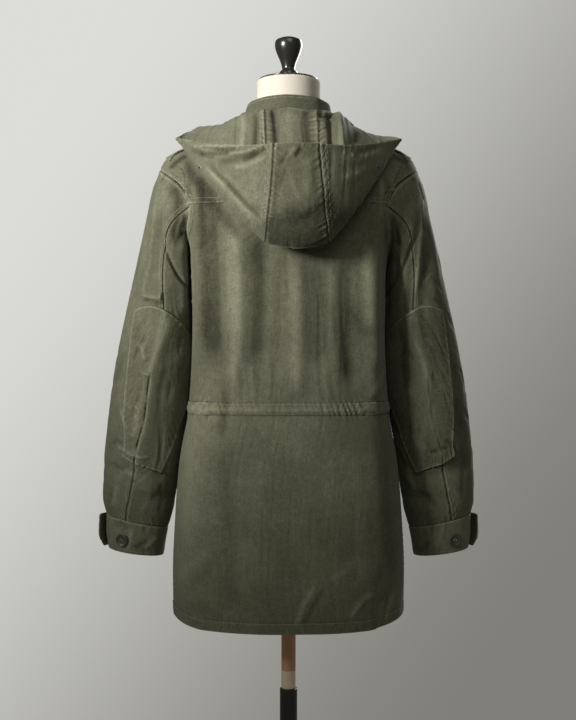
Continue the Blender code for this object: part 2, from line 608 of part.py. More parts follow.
def sided(points, side):
    """The same points on the left or on the right."""
    return points * np.array([side, 1.0, 1.0])


def sleeve_wall(name, turn, along, side, lift=0.0, thickness=CLOTH):
    """A panel of a sleeve, or a piece that lies on it."""
    points, outward = sleeve(turn, along), sleeve_out(turn, along)
    top = lift + thickness if lift else 0.0
    outer, inner = points + outward * top, points + outward * (top - thickness)
    return wall(name, sided(outer, side), sided(inner, side), "olive_cotton")


SLEEVE_ROWS = np.array([0.006, 0.03, 0.07, 0.12, 0.19, 0.27, 0.36, 0.38, 0.415, 0.48, 0.56, 0.63,
                        0.70, 0.76, 0.82, 0.88, 0.94, 1.0])


def make_sleeves():
    """Each sleeve's upper and under pieces, joined at a hind seam and a fore seam."""
    gap = SEAM / 2 / 0.055
    hind, fore, outer, inner = (
        np.radians(SEAM_CURVE[name](SLEEVE_ROWS))
        for name in ("hind_seam", "fore_seam", "patch_outer", "patch_inner")
    )
    upper = np.concatenate([between(fore + gap, outer, even(5)), between(outer, hind - gap, even(4))[:, 1:]], 1)
    fore_again = fore + 2 * math.pi - gap
    under = np.concatenate([between(hind + gap, inner, even(4)), between(inner, fore_again, even(5))[:, 1:]], 1)
    for label, side in (("left", LEFT), ("right", RIGHT)):
        sleeve_wall(f"sleeve_upper_{label}", upper, SLEEVE_ROWS[:, None] + 0 * upper, side)
        sleeve_wall(f"sleeve_under_{label}", under, SLEEVE_ROWS[:, None] + 0 * under, side)


def make_elbow_patches():
    """A long patch over each elbow from the sleeve's own points, with a round top."""
    along = SLEEVE_ROWS[(SLEEVE_ROWS >= PATCH_START) & (SLEEVE_ROWS <= PATCH_END)]
    hind, outer, inner = (
        np.radians(SEAM_CURVE[name](along)) for name in ("hind_seam", "patch_outer", "patch_inner")
    )
    turn = np.concatenate([between(outer, hind, even(4)), between(hind, inner, even(4))[:, 1:]], 1)
    from_top = np.clip((along - PATCH_START) / PATCH_ROUND, 0, 1)
    width = PATCH_TOP_SHARE + (1 - PATCH_TOP_SHARE) * np.sqrt(1 - (1 - from_top) ** 2)
    turn = hind[:, None] + (turn - hind[:, None]) * width[:, None]
    for label, side in (("left", LEFT), ("right", RIGHT)):
        sleeve_wall(f"elbow_patch_{label}", turn, along[:, None] + 0 * turn, side, lift=5 * LAID)


def cuff(turn, down):
    """A point of the right cuff's outer surface, from its seam (0) to its edge (1)."""
    return oval({name: curve(down) for name, curve in CUFF_CURVE.items()}, turn)


def cuff_out(turn, down):
    across = normals(cuff, turn, down, 0.02, 0.01)
    away = cuff(turn, down) - cuff(turn + math.pi, down)
    return across * np.sign(np.sum(across * away, axis=-1, keepdims=True))


CUFF_BUTTON_TURN, CUFF_BUTTON_DOWN = math.radians(70), 0.60
TAB_START, TAB_END = math.radians(-62), math.radians(14)
TAB_FLARE = 0.011


def make_cuffs():
    """Each cuff band, its pointed tab that stands away at the outer side, and its button."""
    down = np.array([0.0, 0.5, 1.0])
    turn = np.linspace(0, 2 * math.pi, 21)[None, :-1] + 0 * down[:, None]
    level = down[:, None] + 0 * turn
    points, outward = cuff(turn, level), cuff_out(turn, level)
    for label, side in (("left", LEFT), ("right", RIGHT)):
        wall(f"cuff_{label}", sided(points, side), sided(points - outward * 0.0024, side), "olive_cotton", closed=True)
        seat_at = np.array(CUFF_BUTTON_TURN), np.array(CUFF_BUTTON_DOWN)
        facing = sided(cuff_out(*seat_at), side)
        make_button(f"cuff_button_{label}", sided(cuff(*seat_at), side) + facing * LAID, facing, BUTTON_RADIUS)

    length, height = even(7), np.array([0.02, 0.36, 0.62, 0.96])
    reach = np.array([0.93, 0.985, 1.0, 0.80])
    share = reach[:, None] * length[None, :]
    turn = TAB_START + (TAB_END - TAB_START) * share
    level = height[:, None] + 0 * share
    flare = 2 * LAID + TAB_FLARE * share**2.2
    outward = cuff_out(turn, level)
    near = cuff(turn, level) + outward * flare[..., None]
    for label, side in (("left", LEFT), ("right", RIGHT)):
        wall(f"cuff_tab_{label}", sided(near + outward * CLOTH, side), sided(near, side), "olive_cotton")


# ---------------------------------------------------------------- turned pieces
def turned(name, outline, material, steps, place=None):
    """A solid of revolution: an outline of (radius, height), from the top down, about Z."""
    mesh = bpy.data.meshes.new(name)
    edges = [(i, i + 1) for i in range(len(outline) - 1)]
    mesh.from_pydata([(radius, 0, height) for radius, height in outline], edges, [])
    mesh.materials.append(MATERIAL[material])
    piece = bpy.data.objects.new(name, mesh)
    PARTS.objects.link(piece)
    screw = piece.modifiers.new("turn", "SCREW")
    screw.steps = screw.render_steps = steps
    screw.use_merge_vertices = True
    screw.merge_threshold = 0.0001
    screw.use_smooth_shade = True
    if place is not None:
        piece.matrix_world = place
    return piece


def make_button(name, seat, facing, radius):
    """A round button with a raised rim, lying with its back on the seat point."""
    turn = Vector(facing).to_track_quat("Z", "Y").to_matrix().to_4x4()
    outline = ((0.0, 0.62), (0.72, 0.62), (0.86, 1.0), (1.0, 0.55), (0.93, 0.0), (0.0, 0.0))
    sized = [(r * radius, h * BUTTON_HEIGHT) for r, h in outline]
    turned(name, sized, "dark_button", 12, Matrix.Translation(Vector(seat)) @ turn)


def make_stand():
    """The neck's cap and finial, the wooden pole, the black tube below it, its socket and the base."""
    cap = ((0.0, CAP_TOP_Z), (0.020, CAP_TOP_Z), (0.038, CAP_TOP_Z - 0.003), (CAP_RADIUS, NECK_TOP_Z + 0.0025),
           (CAP_RADIUS, NECK_TOP_Z + LAID), (0.0, NECK_TOP_Z + LAID))
    turned("neck_cap", cap, "black_wood", 24)
    turned("finial", FINIAL, "black_wood", 18)
    pole_top, pole_low = FORM[0][0] - LAID, TUBE_TOP_Z + LAID
    pole = ((0.0, pole_top), (POLE_RADIUS, pole_top), (POLE_RADIUS, pole_low), (0.0, pole_low))
    turned("pole", pole, "brown_wood", 20)
    tube_low = SOCKET[0][1] + LAID
    tube = ((0.0, TUBE_TOP_Z), (TUBE_RADIUS, TUBE_TOP_Z), (TUBE_RADIUS, tube_low), (0.0, tube_low))
    turned("stand_tube", tube, "black_lacquer", 20)
    turned("stand_socket", SOCKET, "black_lacquer", 20)
    turned("stand_base", BASE, "black_lacquer", 32)


# ---------------------------------------------------------------- the dress form
def form_ring(angle, z):
    """A level ring of the torso's own figure."""
    at = {name: curve(z) for name, curve in FORM_CURVE.items()}
    radius = ring_radius(angle, at["half_width"], at["back"], at["front"], at["squareness"])
    return np.stack([radius * np.cos(angle), radius * np.sin(angle), z + 0 * angle], axis=-1)


def shoulder_form_ring(angle, z):
    """A ring of the torso's shoulders, which carry the jacket."""
    return body(angle, z) - body_normals(angle, z) * (CLOTH + FORM_GAP)


def neck_ring(angle, z):
    """A ring of the neck, which leans less and less towards its level top."""
    lean = float(BODY_CURVE["lean"](NECKLINE_Z)) * (NECK_TOP_Z - z) / (NECK_TOP_Z - NECKLINE_Z)
    y = NECK_RADIUS * np.sin(angle)
    return np.stack([NECK_RADIUS * np.cos(angle), y + 0.002, z - lean * y], axis=-1)


FORM_ROWS = [0.700, 0.750, 0.800, 0.850, 0.910, 0.970, 1.030, 1.090, 1.150, 1.205, 1.260, 1.300,
             1.326]
NECK_ROWS = [1.404, 1.425, 1.448, NECK_TOP_Z]


def make_form():
    """The limbless torso and neck as one smooth closed solid of rings with flat ends."""
    angle = np.arange(24) * 2 * math.pi / 24
    rings = [form_ring(angle, z) for z in FORM_ROWS]
    rings += [shoulder_form_ring(angle, z) for z in SHOULDER_ROWS]
    rings += [neck_ring(angle, z) for z in NECK_ROWS]
    shape = bmesh.new()
    loops = [[shape.verts.new(p) for p in ring] for ring in rings]
    for lower, upper in zip(loops, loops[1:]):
        for i in range(len(angle)):
            n = (i + 1) % len(angle)
            shape.faces.new((lower[i], lower[n], upper[n], upper[i]))
    shape.faces.new(loops[0][::-1])
    shape.faces.new(loops[-1])
    add_object("dress_form", shape, "cream_jersey")


# ---------------------------------------------------------------- the scene
def clear_scene():
    for old in list(bpy.data.objects):
        bpy.data.objects.remove(old)


def make_material(name, colour, roughness, metallic):
    material = bpy.data.materials.new(name)
    material.use_nodes = True
    shader = material.node_tree.nodes["Principled BSDF"]
    shader.inputs["Base Color"].default_value = (*colour, 1.0)
    shader.inputs["Roughness"].default_value = roughness
    shader.inputs["Metallic"].default_value = metallic
    return material


clear_scene()
PARTS = bpy.data.collections.new("field_jacket_on_dress_form")
bpy.context.scene.collection.children.link(PARTS)
MATERIAL = {name: make_material(name, *values) for name, values in MATERIALS.items()}
make_back()
make_fronts()
make_placket()
make_pockets()
make_epaulettes()
make_collar()
make_hood()
make_sleeves()
make_elbow_patches()
make_cuffs()
make_form()
make_stand()
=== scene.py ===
"""The looks of an olive field jacket with a turned-back hood, on its dress form.

Metres, +Z up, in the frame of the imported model: the wearer faces +Y, so the camera sees the back.
Each piece of cloth is a closed wall between a fine grid of points and a coarser one inside it. It
follows the same surface as the solid that it stands for, with the folds, seams and puckers that
are too fine for a solid. Folds on the visible side are placed as the picture shows them, in a
frame 576 wide and 720 high.
"""

import math

import bmesh
import bpy
import numpy as np
from mathutils import Matrix, Vector


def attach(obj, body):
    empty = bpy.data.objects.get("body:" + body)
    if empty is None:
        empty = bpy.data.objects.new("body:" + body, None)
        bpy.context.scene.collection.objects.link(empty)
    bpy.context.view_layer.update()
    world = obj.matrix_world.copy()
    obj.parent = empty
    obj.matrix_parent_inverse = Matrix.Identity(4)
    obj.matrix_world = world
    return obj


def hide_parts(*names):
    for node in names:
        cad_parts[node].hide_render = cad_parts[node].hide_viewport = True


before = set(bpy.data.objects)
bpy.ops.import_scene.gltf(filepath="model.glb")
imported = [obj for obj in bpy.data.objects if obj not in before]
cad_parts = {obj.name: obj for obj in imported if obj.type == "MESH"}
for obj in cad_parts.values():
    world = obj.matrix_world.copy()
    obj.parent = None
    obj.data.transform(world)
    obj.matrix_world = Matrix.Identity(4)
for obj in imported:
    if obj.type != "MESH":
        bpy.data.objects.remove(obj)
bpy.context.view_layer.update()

# ---------------------------------------------------------------- sizes, as in the solid model
CLOTH, SEAM, LAID = 0.0016, 0.0003, 0.0003
LEFT, RIGHT = -1, 1
SIDES = (("left", LEFT), ("right", RIGHT))
HEM_Z, WAIST_Z, WAIST_BAND, WAIST_RAISE = 0.627, 0.957, 0.017, 0.0014
UNDERARM_Z, SHOULDER_TIP_Z, NECKLINE_Z = 1.186, 1.334, 1.385
ARMHOLE_MID_Z = (UNDERARM_Z + SHOULDER_TIP_Z) / 2
ARMHOLE_HALF = (SHOULDER_TIP_Z - UNDERARM_Z) / 2
ARMHOLE_BACK, ARMHOLE_FRONT = math.radians(31), math.radians(35)

# The body's level rings, from the hem up. Lean tips a ring down towards the front.
BODY_COLUMNS = ("z", "half_width", "back", "front", "squareness", "centre_y", "lean")
BODY = (
    (0.560, 0.1790, 0.128, 0.126, 2.15, 0.000, 0.00),
    (0.627, 0.1800, 0.128, 0.126, 2.20, 0.000, 0.00),
    (0.700, 0.1810, 0.128, 0.126, 2.40, 0.000, 0.00),
    (0.780, 0.1775, 0.126, 0.124, 2.55, 0.000, 0.00),
    (0.860, 0.1712, 0.121, 0.119, 2.75, 0.000, 0.00),
    (0.957, 0.1562, 0.113, 0.112, 2.85, 0.000, 0.00),
    (1.075, 0.1502, 0.117, 0.119, 3.00, 0.000, 0.00),
    (1.150, 0.1510, 0.119, 0.121, 3.00, 0.000, 0.00),
    (1.186, 0.1540, 0.119, 0.119, 2.90, 0.000, 0.01),
    (1.260, 0.1830, 0.116, 0.110, 2.70, 0.001, 0.04),
    (1.306, 0.2030, 0.109, 0.097, 2.60, 0.002, 0.08),
    (1.334, 0.1980, 0.101, 0.085, 2.50, 0.003, 0.11),
    (1.350, 0.1660, 0.092, 0.077, 2.40, 0.004, 0.14),
    (1.366, 0.1240, 0.081, 0.069, 2.30, 0.004, 0.17),
    (1.378, 0.0900, 0.0725, 0.063, 2.20, 0.004, 0.19),
    (1.385, 0.0725, 0.0685, 0.060, 2.10, 0.004, 0.20),
    (1.400, 0.0700, 0.0660, 0.058, 2.00, 0.004, 0.20),
)

# Large vertical folds of the body: side, x (positive to the right), lowest and highest z, half
# width and height (negative for a trough).
FOLDS = (
    ("back", -0.118, 1.06, 1.20, 0.015, -0.0040),
    ("back", -0.080, 0.99, 1.25, 0.020, 0.0035),
    ("back", -0.040, 0.97, 1.22, 0.012, -0.0022),
    ("back", 0.000, 0.97, 1.10, 0.014, 0.0022),
    ("back", 0.045, 1.00, 1.18, 0.020, -0.0040),
    ("back", 0.098, 0.97, 1.10, 0.014, -0.0028),
    ("back", 0.128, 0.98, 1.24, 0.012, 0.0030),
    ("back", -0.105, 0.68, 0.93, 0.024, 0.0030),
    ("back", 0.020, 0.60, 0.90, 0.035, -0.0025),
    ("back", 0.140, 0.58, 0.72, 0.010, -0.0045),
    ("front", -0.120, 0.98, 1.24, 0.014, -0.0040),
    ("front", 0.125, 1.00, 1.25, 0.013, -0.0040),
    ("front", -0.060, 0.60, 0.90, 0.026, 0.0030),
    ("front", 0.070, 0.58, 0.86, 0.024, -0.0030),
)

# A sleeve's rings, from the armhole to the cuff: its outline as seen from behind, and its depth.
SLEEVE_COLUMNS = ("along", "outer_x", "outer_z", "inner_x", "inner_z", "half_depth", "centre_y")
SLEEVE = (
    (0.00, 0.1985, 1.3340, 0.1545, 1.1860, 0.088, -0.004),
    (0.06, 0.2110, 1.3040, 0.1575, 1.1700, 0.078, -0.004),
    (0.14, 0.2230, 1.2520, 0.1550, 1.1460, 0.068, 0.000),
    (0.25, 0.2350, 1.2024, 0.1538, 1.1182, 0.062, 0.004),
    (0.37, 0.2491, 1.1405, 0.1532, 1.0782, 0.058, 0.008),
    (0.49, 0.2642, 1.0753, 0.1546, 1.0330, 0.057, 0.012),
    (0.61, 0.2781, 1.0048, 0.1575, 0.9826, 0.057, 0.017),
    (0.73, 0.2885, 0.9288, 0.1650, 0.9187, 0.056, 0.022),
    (0.84, 0.2959, 0.8605, 0.1757, 0.8493, 0.053, 0.027),
    (0.93, 0.2974, 0.8114, 0.1852, 0.7921, 0.049, 0.030),
    (1.00, 0.2919, 0.7859, 0.1933, 0.7645, 0.043, 0.031),
)
CUFF = (
    (0.00, 0.2919, 0.7848, 0.1933, 0.7635, 0.043, 0.031),
    (0.50, 0.2921, 0.7577, 0.1974, 0.7410, 0.043, 0.032),
    (1.00, 0.2885, 0.7303, 0.2010, 0.7181, 0.040, 0.032),
)
SLEEVE_CAP = 0.12  # share of the sleeve over which the armhole's shape fades into an oval

# The sleeves' large creases: share along the sleeve, angle round it, half of each of these that a
# crease takes up, slant, and height. The third and the fourth are weaker than in the solid model.
CREASES = (
    (0.16, 118, 0.050, 16, 90, -0.0050),
    (0.27, 40, 0.120, 12, 10, 0.0025),
    (0.46, 130, 0.110, 20, -40, -0.0014),
    (0.60, 82, 0.150, 9, -60, 0.0006),
    (0.72, 150, 0.045, 30, 60, -0.0030),
    (0.84, 70, 0.022, 45, 60, -0.0045),
    (0.90, 125, 0.020, 35, -40, -0.0035),
    (0.50, -120, 0.060, 25, 60, -0.0050),
    (0.57, -100, 0.050, 28, -60, -0.0045),
    (0.86, -70, 0.025, 40, 40, -0.0040),
)

# Angles of the sleeve's seams and elbow patch, in degrees: 0 is the outer side, 90 the back.
SEAM_ANGLE_COLUMNS = ("along", "hind_seam", "fore_seam", "patch_outer", "patch_inner")
SEAM_ANGLES = (
    (0.00, 90, -90, 40, 165),
    (0.20, 91, -92, 42, 168),
    (0.36, 101, -95, 46, 170),
    (0.41, 107, -97, 48, 170),
    (0.57, 92, -100, 55, 170),
    (0.70, 92, -100, 59, 154),
    (0.78, 86, -100, 66, 138),
    (0.85, 84, -100, 64, 124),
    (1.00, 74, -100, 56, 97),
)
PATCH_START, PATCH_END, PATCH_ROUND = 0.36, 0.82, 0.10
PATCH_TOP_SHARE = 0.60  # of the patch's full width, straight across its top

# The hood's stations from the neckline (0) down inside the pouch, round its bottom and up to the
# brow edge (1). The gusset is its middle strip; the edge is the opening that frames the face.
HOOD_COLUMNS = (
    "along", "centre_y", "centre_z", "gusset", "shift", "seam_rise",
    "edge_x", "edge_y", "edge_z", "bow_x", "bow_y", "bow_z", "left_drop", "right_drop",
)
HOOD = (
    (0, -0.078, 1.398, 0.034, 0, -0.003, 0.066, 0.052, 1.381, 0.03, -0.002, 0, 0, 0),
    (0.05, -0.085, 1.406, 0.038, 0.002, -0.002, 0.074, 0.058, 1.388, 0.031, -0.002, 0.004, 0, 0),
    (0.09, -0.095, 1.404, 0.039, 0.003, -0.001, 0.084, 0.057, 1.392, 0.028, -0.008, 0.004, 0, 0.001),
    (0.2, -0.113, 1.378, 0.039, 0.004, 0, 0.108, 0.04, 1.396, 0.014, -0.024, 0.008, -0.003, 0.006),
    (0.34, -0.125, 1.332, 0.039, 0.006, 0, 0.136, 0.01, 1.396, 0, -0.034, 0.008, -0.0035, 0.0135),
    (0.48, -0.129, 1.265, 0.042, 0.009, 0.002, 0.155, -0.025, 1.391, 0, -0.032, 0.004, 0.007, 0.014),
    (0.61, -0.139, 1.209, 0.045, 0.012, 0.006, 0.165, -0.05, 1.382, 0, -0.024, -0.003, 0.008, 0.0107),
    (0.7, -0.162, 1.19, 0.046, 0.0125, 0.01, 0.169, -0.066, 1.374, 0, -0.016, -0.016, 0.0055, 0.007),
    (0.79, -0.185, 1.212, 0.044, 0.0125, 0.008, 0.171, -0.074, 1.37, 0, -0.014, -0.016, 0.004, 0.0055),
    (0.89, -0.196, 1.274, 0.037, 0.012, 0.003, 0.171, -0.078, 1.369, 0, -0.014, -0.012, 0.004, 0.0055),
    (1.0, -0.194, 1.337, 0.032, 0.011, 0, 0.17, -0.08, 1.37, 0, -0.014, -0.01, 0.004, 0.0055),
)
HOOD_SEAM_Z = 1.3925  # on the collar
HOOD_SEAM_HALF = math.radians(135)  # how far the hood's neck seam runs round it, each way
HOOD_SEAM_SHARE = 0.06  # of the hood's length, over which it leaves that seam's shape
GUSSET_SHARE = 0.25  # of the hood's half width
GUSSET_CROWN = 0.006  # the gusset's middle stands this far behind its seams

COLLAR_COLUMNS = ("z", "half_width", "back", "front", "lean")
COLLAR = (
    (1.3855, 0.0735, 0.0690, 0.0610, 0.20),
    (1.4050, 0.0715, 0.0640, 0.0600, 0.19),
    (1.4275, 0.0665, 0.0580, 0.0590, 0.17),
)
COLLAR_GAP = math.radians(1.5)  # half of the collar's opening at the centre front

FRONT_BUTTON_Z = (0.750, 0.845, 1.020, 1.130, 1.240, 1.335)
BUTTON_RADIUS, SMALL_BUTTON_RADIUS = 0.0105, 0.0085

# Patch pockets: low and high edge, those of the flap, and where the outer edges lie, as a share of
# the way from the front's side edge to the pockets' inner edge.
POCKETS = (
    ("chest_pocket", 1.060, 1.165, 1.130, 1.178, 0.500),
    ("hip_pocket", 0.700, 0.895, 0.845, 0.910, 0.375),
)
POCKET_INNER_X = 0.042
PLACKET_HALF, PLACKET_TOP_Z = 0.027, 1.374
BACK_MIDDLE = 0.108  # x out to which the back's columns are straight
CUFF_WALL = 0.0024  # a cuff is two layers of cloth
CUFF_BUTTON_TURN, CUFF_BUTTON_DOWN = math.radians(70), 0.60
TAB_START, TAB_END, TAB_FLARE = math.radians(-62), math.radians(14), 0.011
TAB_LEVELS, TAB_REACHES = (0.02, 0.36, 0.62, 0.96), (0.93, 0.985, 1.0, 0.80)  # its pointed end
EPAULETTE_TIP_X, EPAULETTE_BASE_X, EPAULETTE_HALF = 0.098, 0.189, 0.024
EPAULETTE_TIP_Y, EPAULETTE_BASE_Y = -0.012, -0.031
EPAULETTE_POINT, EPAULETTE_BUTTON, EPAULETTE_LIFT = 0.012, 0.81, 0.0007
EPAULETTE_SKEW = 0.009  # how far the strap's sewn end is set in at its back corner, by the armhole

FORM_GAP = 0.0013  # between the dress form's shoulders and the cloth's inner face
FORM_COLUMNS = ("z", "half_width", "back", "front", "squareness")
FORM = (
    (0.700, 0.1500, 0.105, 0.100, 2.2),
    (0.790, 0.1560, 0.108, 0.102, 2.2),
    (0.880, 0.1440, 0.098, 0.096, 2.2),
    (0.970, 0.1260, 0.084, 0.088, 2.2),
    (1.050, 0.1330, 0.092, 0.100, 2.2),
    (1.130, 0.1420, 0.101, 0.109, 2.2),
    (1.200, 0.1460, 0.104, 0.103, 2.3),
    (1.260, 0.1570, 0.101, 0.092, 2.3),
    (1.300, 0.1640, 0.092, 0.077, 2.3),
    (1.326, 0.1660, 0.085, 0.069, 2.3),
)
NECK_RADIUS, NECK_TOP_Z = 0.050, 1.4700
CAP_RADIUS, CAP_TOP_Z = 0.0465, 1.4780
FINIAL = (  # radius and height of its turned outline
    (0.0, 1.5390), (0.0120, 1.5382), (0.0205, 1.5340), (0.0215, 1.5275), (0.0110, 1.4950),
    (0.0100, 1.4895), (0.0145, 1.4835), (0.0150, 1.4783), (0.0, 1.4783),
)
POLE_RADIUS, TUBE_RADIUS, TUBE_TOP_Z = 0.01125, 0.0137, 0.512
BARE_WOOD_Z = 0.5415  # below this height the pole's wood is bare
BASE = ((0.0, 0.018), (0.060, 0.018), (0.209, 0.0125), (0.218, 0.008), (0.218, 0.0), (0.0, 0.0))
SOCKET = ((0.0, 0.050), (0.0200, 0.050), (0.0225, 0.047), (0.0260, 0.0183), (0.0, 0.0183))


# ---------------------------------------------------------------- folds, as the picture shows them
SIDE_CREST, SIDE_CREST_X = 0.009, 0.139  # the crest near each side of the back
HEM_SIDE_RISE, HEM_BACK_DROP = 0.009, 0.001

# How deep a fold of the back may go at each height, so that it stays clear of the form.
DEPTH_LEVELS = (1.00, 1.09, 1.18, 1.24, 1.29, 1.32)
DEPTH_LIMITS = (0.009, 0.0045, 0.0045, 0.008, 0.006, 0.0008)
WAIST_GATHERS = (  # x, half width, and how much more the cord gathers the cloth there
    (-0.130, 0.030, 0.8),
    (0.100, 0.030, 0.6),
)

# The tables below hold points of the picture. A fold is its height (mm, + for a ridge), its half
# width and its line, and carries painted light along a ridge and painted shade in a trough; a shade
# is painted shade, or painted light where its amount is +, without a fold: its amount, half width
# and line; a lapped edge is its height, reach and line, with painted shade below it. A row of
# puckers is its two ends, its height (mm), its reach and its seed, with painted light and shade.
BACK_FOLDS = (
    (-7.5, 9.0, (205, 190), (207, 240), (209, 300), (211, 360)),
    (-5.0, 6.0, (196, 174), (206, 190), (217, 206), (230, 224), (246, 240)),
    (5.5, 9.0, (236, 216), (240, 290), (238, 350), (234, 400)),
    (-2.4, 1.8, (188, 155), (182, 157.5), (176, 162), (169, 169)),
    (-2.4, 1.8, (394, 156), (402, 160.5), (407, 165), (409, 170)),
    (-4.4, 7.5, (262, 226), (264, 290), (260, 370)),
    (4.0, 8.0, (296, 246), (299, 330), (298, 404)),
    (-3.0, 8.0, (322, 260), (326, 370)),
    (-5.4, 9.0, (346, 256), (347, 330), (353, 392)),
    (3.0, 5.0, (366, 240), (368, 290), (370, 336)),
    (-2.4, 4.0, (224, 384), (226, 404), (222, 440)),
    (-0.9, 2.2, (203, 190), (205, 225), (203, 262)),
    (0.7, 2.6, (228, 250), (230, 300)),
    (-0.7, 2.4, (334, 300), (338, 350)),
    (1.2, 2.0, (369, 398), (378, 382), (386, 366)),
    (-1.0, 1.8, (373, 402), (382, 390), (388, 378)),
    (-0.8, 2.4, (240, 360), (243, 385), (240, 402)),
    (0.8, 3.0, (252, 362), (254, 402)),
    (-0.9, 2.2, (274, 360), (272, 404)),
    (-0.8, 2.6, (330, 372), (334, 404)),
    (-1.4, 2.4, (201, 172), (205, 184), (206, 204)),
    (1.2, 2.6, (196, 180), (198, 200), (198, 226)),
    (1.4, 3.0, (376, 160), (379, 184), (379, 226)),
    (-1.6, 3.0, (386, 170), (384, 204), (382, 250)),
    (4.5, 13.0, (192, 400), (191, 500), (188, 700)),
    (-3.0, 9.0, (226, 440), (230, 540), (230, 622)),
    (0.6, 8.0, (262, 440), (258, 520), (262, 600)),
    (-0.7, 8.0, (318, 440), (322, 520), (320, 610)),
    (0.7, 7.0, (352, 430), (362, 500), (362, 600)),
    (-1.4, 5.0, (374, 420), (386, 500), (392, 590)),
    (1.8, 2.6, (296, 628), (304, 606), (316, 586)),
    (-1.6, 2.6, (303, 630), (313, 608), (326, 588)),
    (1.8, 2.4, (349, 620), (360, 604), (374, 590)),
    (-2.2, 2.4, (378, 626), (381, 610), (385, 590)),
    (2.0, 2.0, (384, 626), (388, 608), (393, 588)),
    (1.2, 5.0, (180, 582), (194, 566), (212, 550)),
    (-1.2, 5.0, (186, 594), (202, 578), (222, 560)),
    (1.2, 5.0, (332, 584), (344, 572), (360, 560)),
    (1.2, 1.6, (190.5, 204), (191.5, 250), (193, 308)),
    (1.2, 1.6, (389.5, 204), (388, 240), (384, 330)),
)
BACK_SHADES = (
    (-1.5, 8.0, (208, 176), (211, 240), (212, 300), (213, 370)),
    (-1.3, 2.2, (189, 154.5), (182, 157.5), (176, 162), (168, 170)),
    (-0.8, 1.8, (393, 155), (402, 160.5), (407, 165), (410, 172)),
    (-1.0, 5.0, (184, 154), (190, 168), (198, 184), (208, 198)),
    (-0.8, 5.0, (186, 164), (190, 180), (191, 204)),
    (-0.5, 9.0, (216, 330), (222, 360), (226, 392)),
    (-0.6, 7.0, (352, 300), (358, 322), (368, 340)),
    (-0.4, 6.0, (276, 260), (275, 300), (274, 380)),
)
BACK_LAPS = (
    (2.4, 10.0, (175, 162), (181, 167), (185, 175), (187.4, 188), (188.6, 200), (189.4, 216),
     (191, 250)),
    (2.4, 10.0, (388, 250), (389.5, 216), (391, 199), (394, 181), (402, 164)),
)
BACK_PUCKERS = (
    (188, 207.5, 232, 207.5, 0.25, 5.0, 5),
    (352, 210, 392, 210, 0.25, 5.0, 6),
    (190, 616, 385, 628, 0.35, 5.0, 7),
)
POUCH_FOLDS = (
    (-3.4, 2.2, (268, 147), (262, 150), (256, 153), (248, 158), (240, 160)),
    (2.6, 2.2, (270, 143), (260, 147), (250, 151), (240, 153), (226, 153)),
    (1.6, 2.6, (268, 156), (256, 162), (246, 166), (232, 168)),
    (-2.0, 2.0, (238, 148), (226, 150), (212, 150)),
    (-1.8, 1.8, (232, 153), (214, 154), (196, 154)),
    (1.8, 1.6, (228, 147), (208, 146), (190, 147)),
    (-2.2, 1.6, (226, 143.5), (206, 142), (186, 141)),
    (1.6, 1.5, (214, 140), (200, 138.5), (184, 138)),
    (-2.4, 2.0, (304, 146), (300, 151), (295, 158)),
    (2.0, 2.4, (298, 145), (292, 152), (284, 160)),
    (-1.8, 2.6, (290, 150), (285, 157), (278, 166)),
    (-2.4, 3.0, (216, 164), (232, 160), (246, 157), (262, 151)),
    (-1.4, 5.0, (278, 148), (276, 190), (272, 236)),
    (1.8, 6.0, (309, 154), (309, 200)),
    (1.6, 5.0, (338, 158), (362, 158), (388, 150)),
    (-1.0, 2.2, (282, 147), (281, 152)),
    (-1.0, 2.4, (286, 168), (283, 178), (280, 186)),
    (1.0, 3.0, (290, 172), (296, 188), (302, 204)),
    (1.5, 1.6, (353, 153), (352.5, 157)),
    (1.0, 1.5, (345, 151), (345, 155)),
    (-1.0, 3.0, (380, 146), (366, 152), (350, 156)),
    (0.9, 4.0, (385, 160), (362, 172), (340, 180)),
    (-1.8, 1.7, (206.5, 161), (216.4, 172.6), (228, 184), (244, 202), (263, 221)),
    (1.6, 1.7, (203, 163), (213, 174.6), (225, 186), (241, 204), (260, 223)),
    (1.0, 3.0, (222, 170), (238, 188), (256, 208)),
    (-1.4, 2.2, (190, 150), (204, 156), (216, 158)),
    (1.2, 2.2, (192, 146), (204, 150), (220, 153)),
)
POUCH_SHADES = (
    (-1.3, 12.0, (266, 216), (276, 232), (296, 240)),
    (-0.9, 9.0, (284, 204), (296, 220), (306, 236)),
    (-0.4, 4.0, (184, 146), (220, 150), (256, 150)),
    (0.8, 2.4, (184, 142), (214, 144), (246, 146)),
    (0.7, 2.4, (206, 168), (226, 190), (258, 226)),
    (-0.5, 5.0, (222, 180), (240, 196), (260, 214)),
)
POUCH_LAPS = (
    (5.0, 34.0, (262, 228), (284, 222), (300, 216.5), (312, 211), (324, 201), (334, 190)),
)
POUCH_PUCKERS = (
    (184, 141, 232, 146, 0.50, 4.0, 31),
    (276, 145, 266, 238, 0.35, 4.0, 32),
    (318, 146, 328, 238, 0.30, 3.5, 33),
    (330, 147, 396, 143, 0.35, 4.0, 34),
)
NECK_FOLDS = (
    (-5.0, 2.8, (257, 108), (257, 130), (255, 160)),
    (3.4, 3.6, (246, 112), (245, 132), (243, 160)),
    (-5.5, 3.4, (273, 104), (276, 126), (278, 160)),
    (2.6, 8.0, (290, 104), (291, 127), (293, 160)),
    (-3.6, 4.6, (307, 104), (309, 128), (312, 160)),
    (-3.4, 2.0, (316, 113), (324, 117), (334, 116)),
    (-5.5, 3.0, (328, 112), (331, 132), (333, 160)),
    (4.6, 3.4, (337, 106), (340, 128), (343, 160)),
    (-2.4, 3.4, (350, 120), (354, 132), (356, 146)),
)
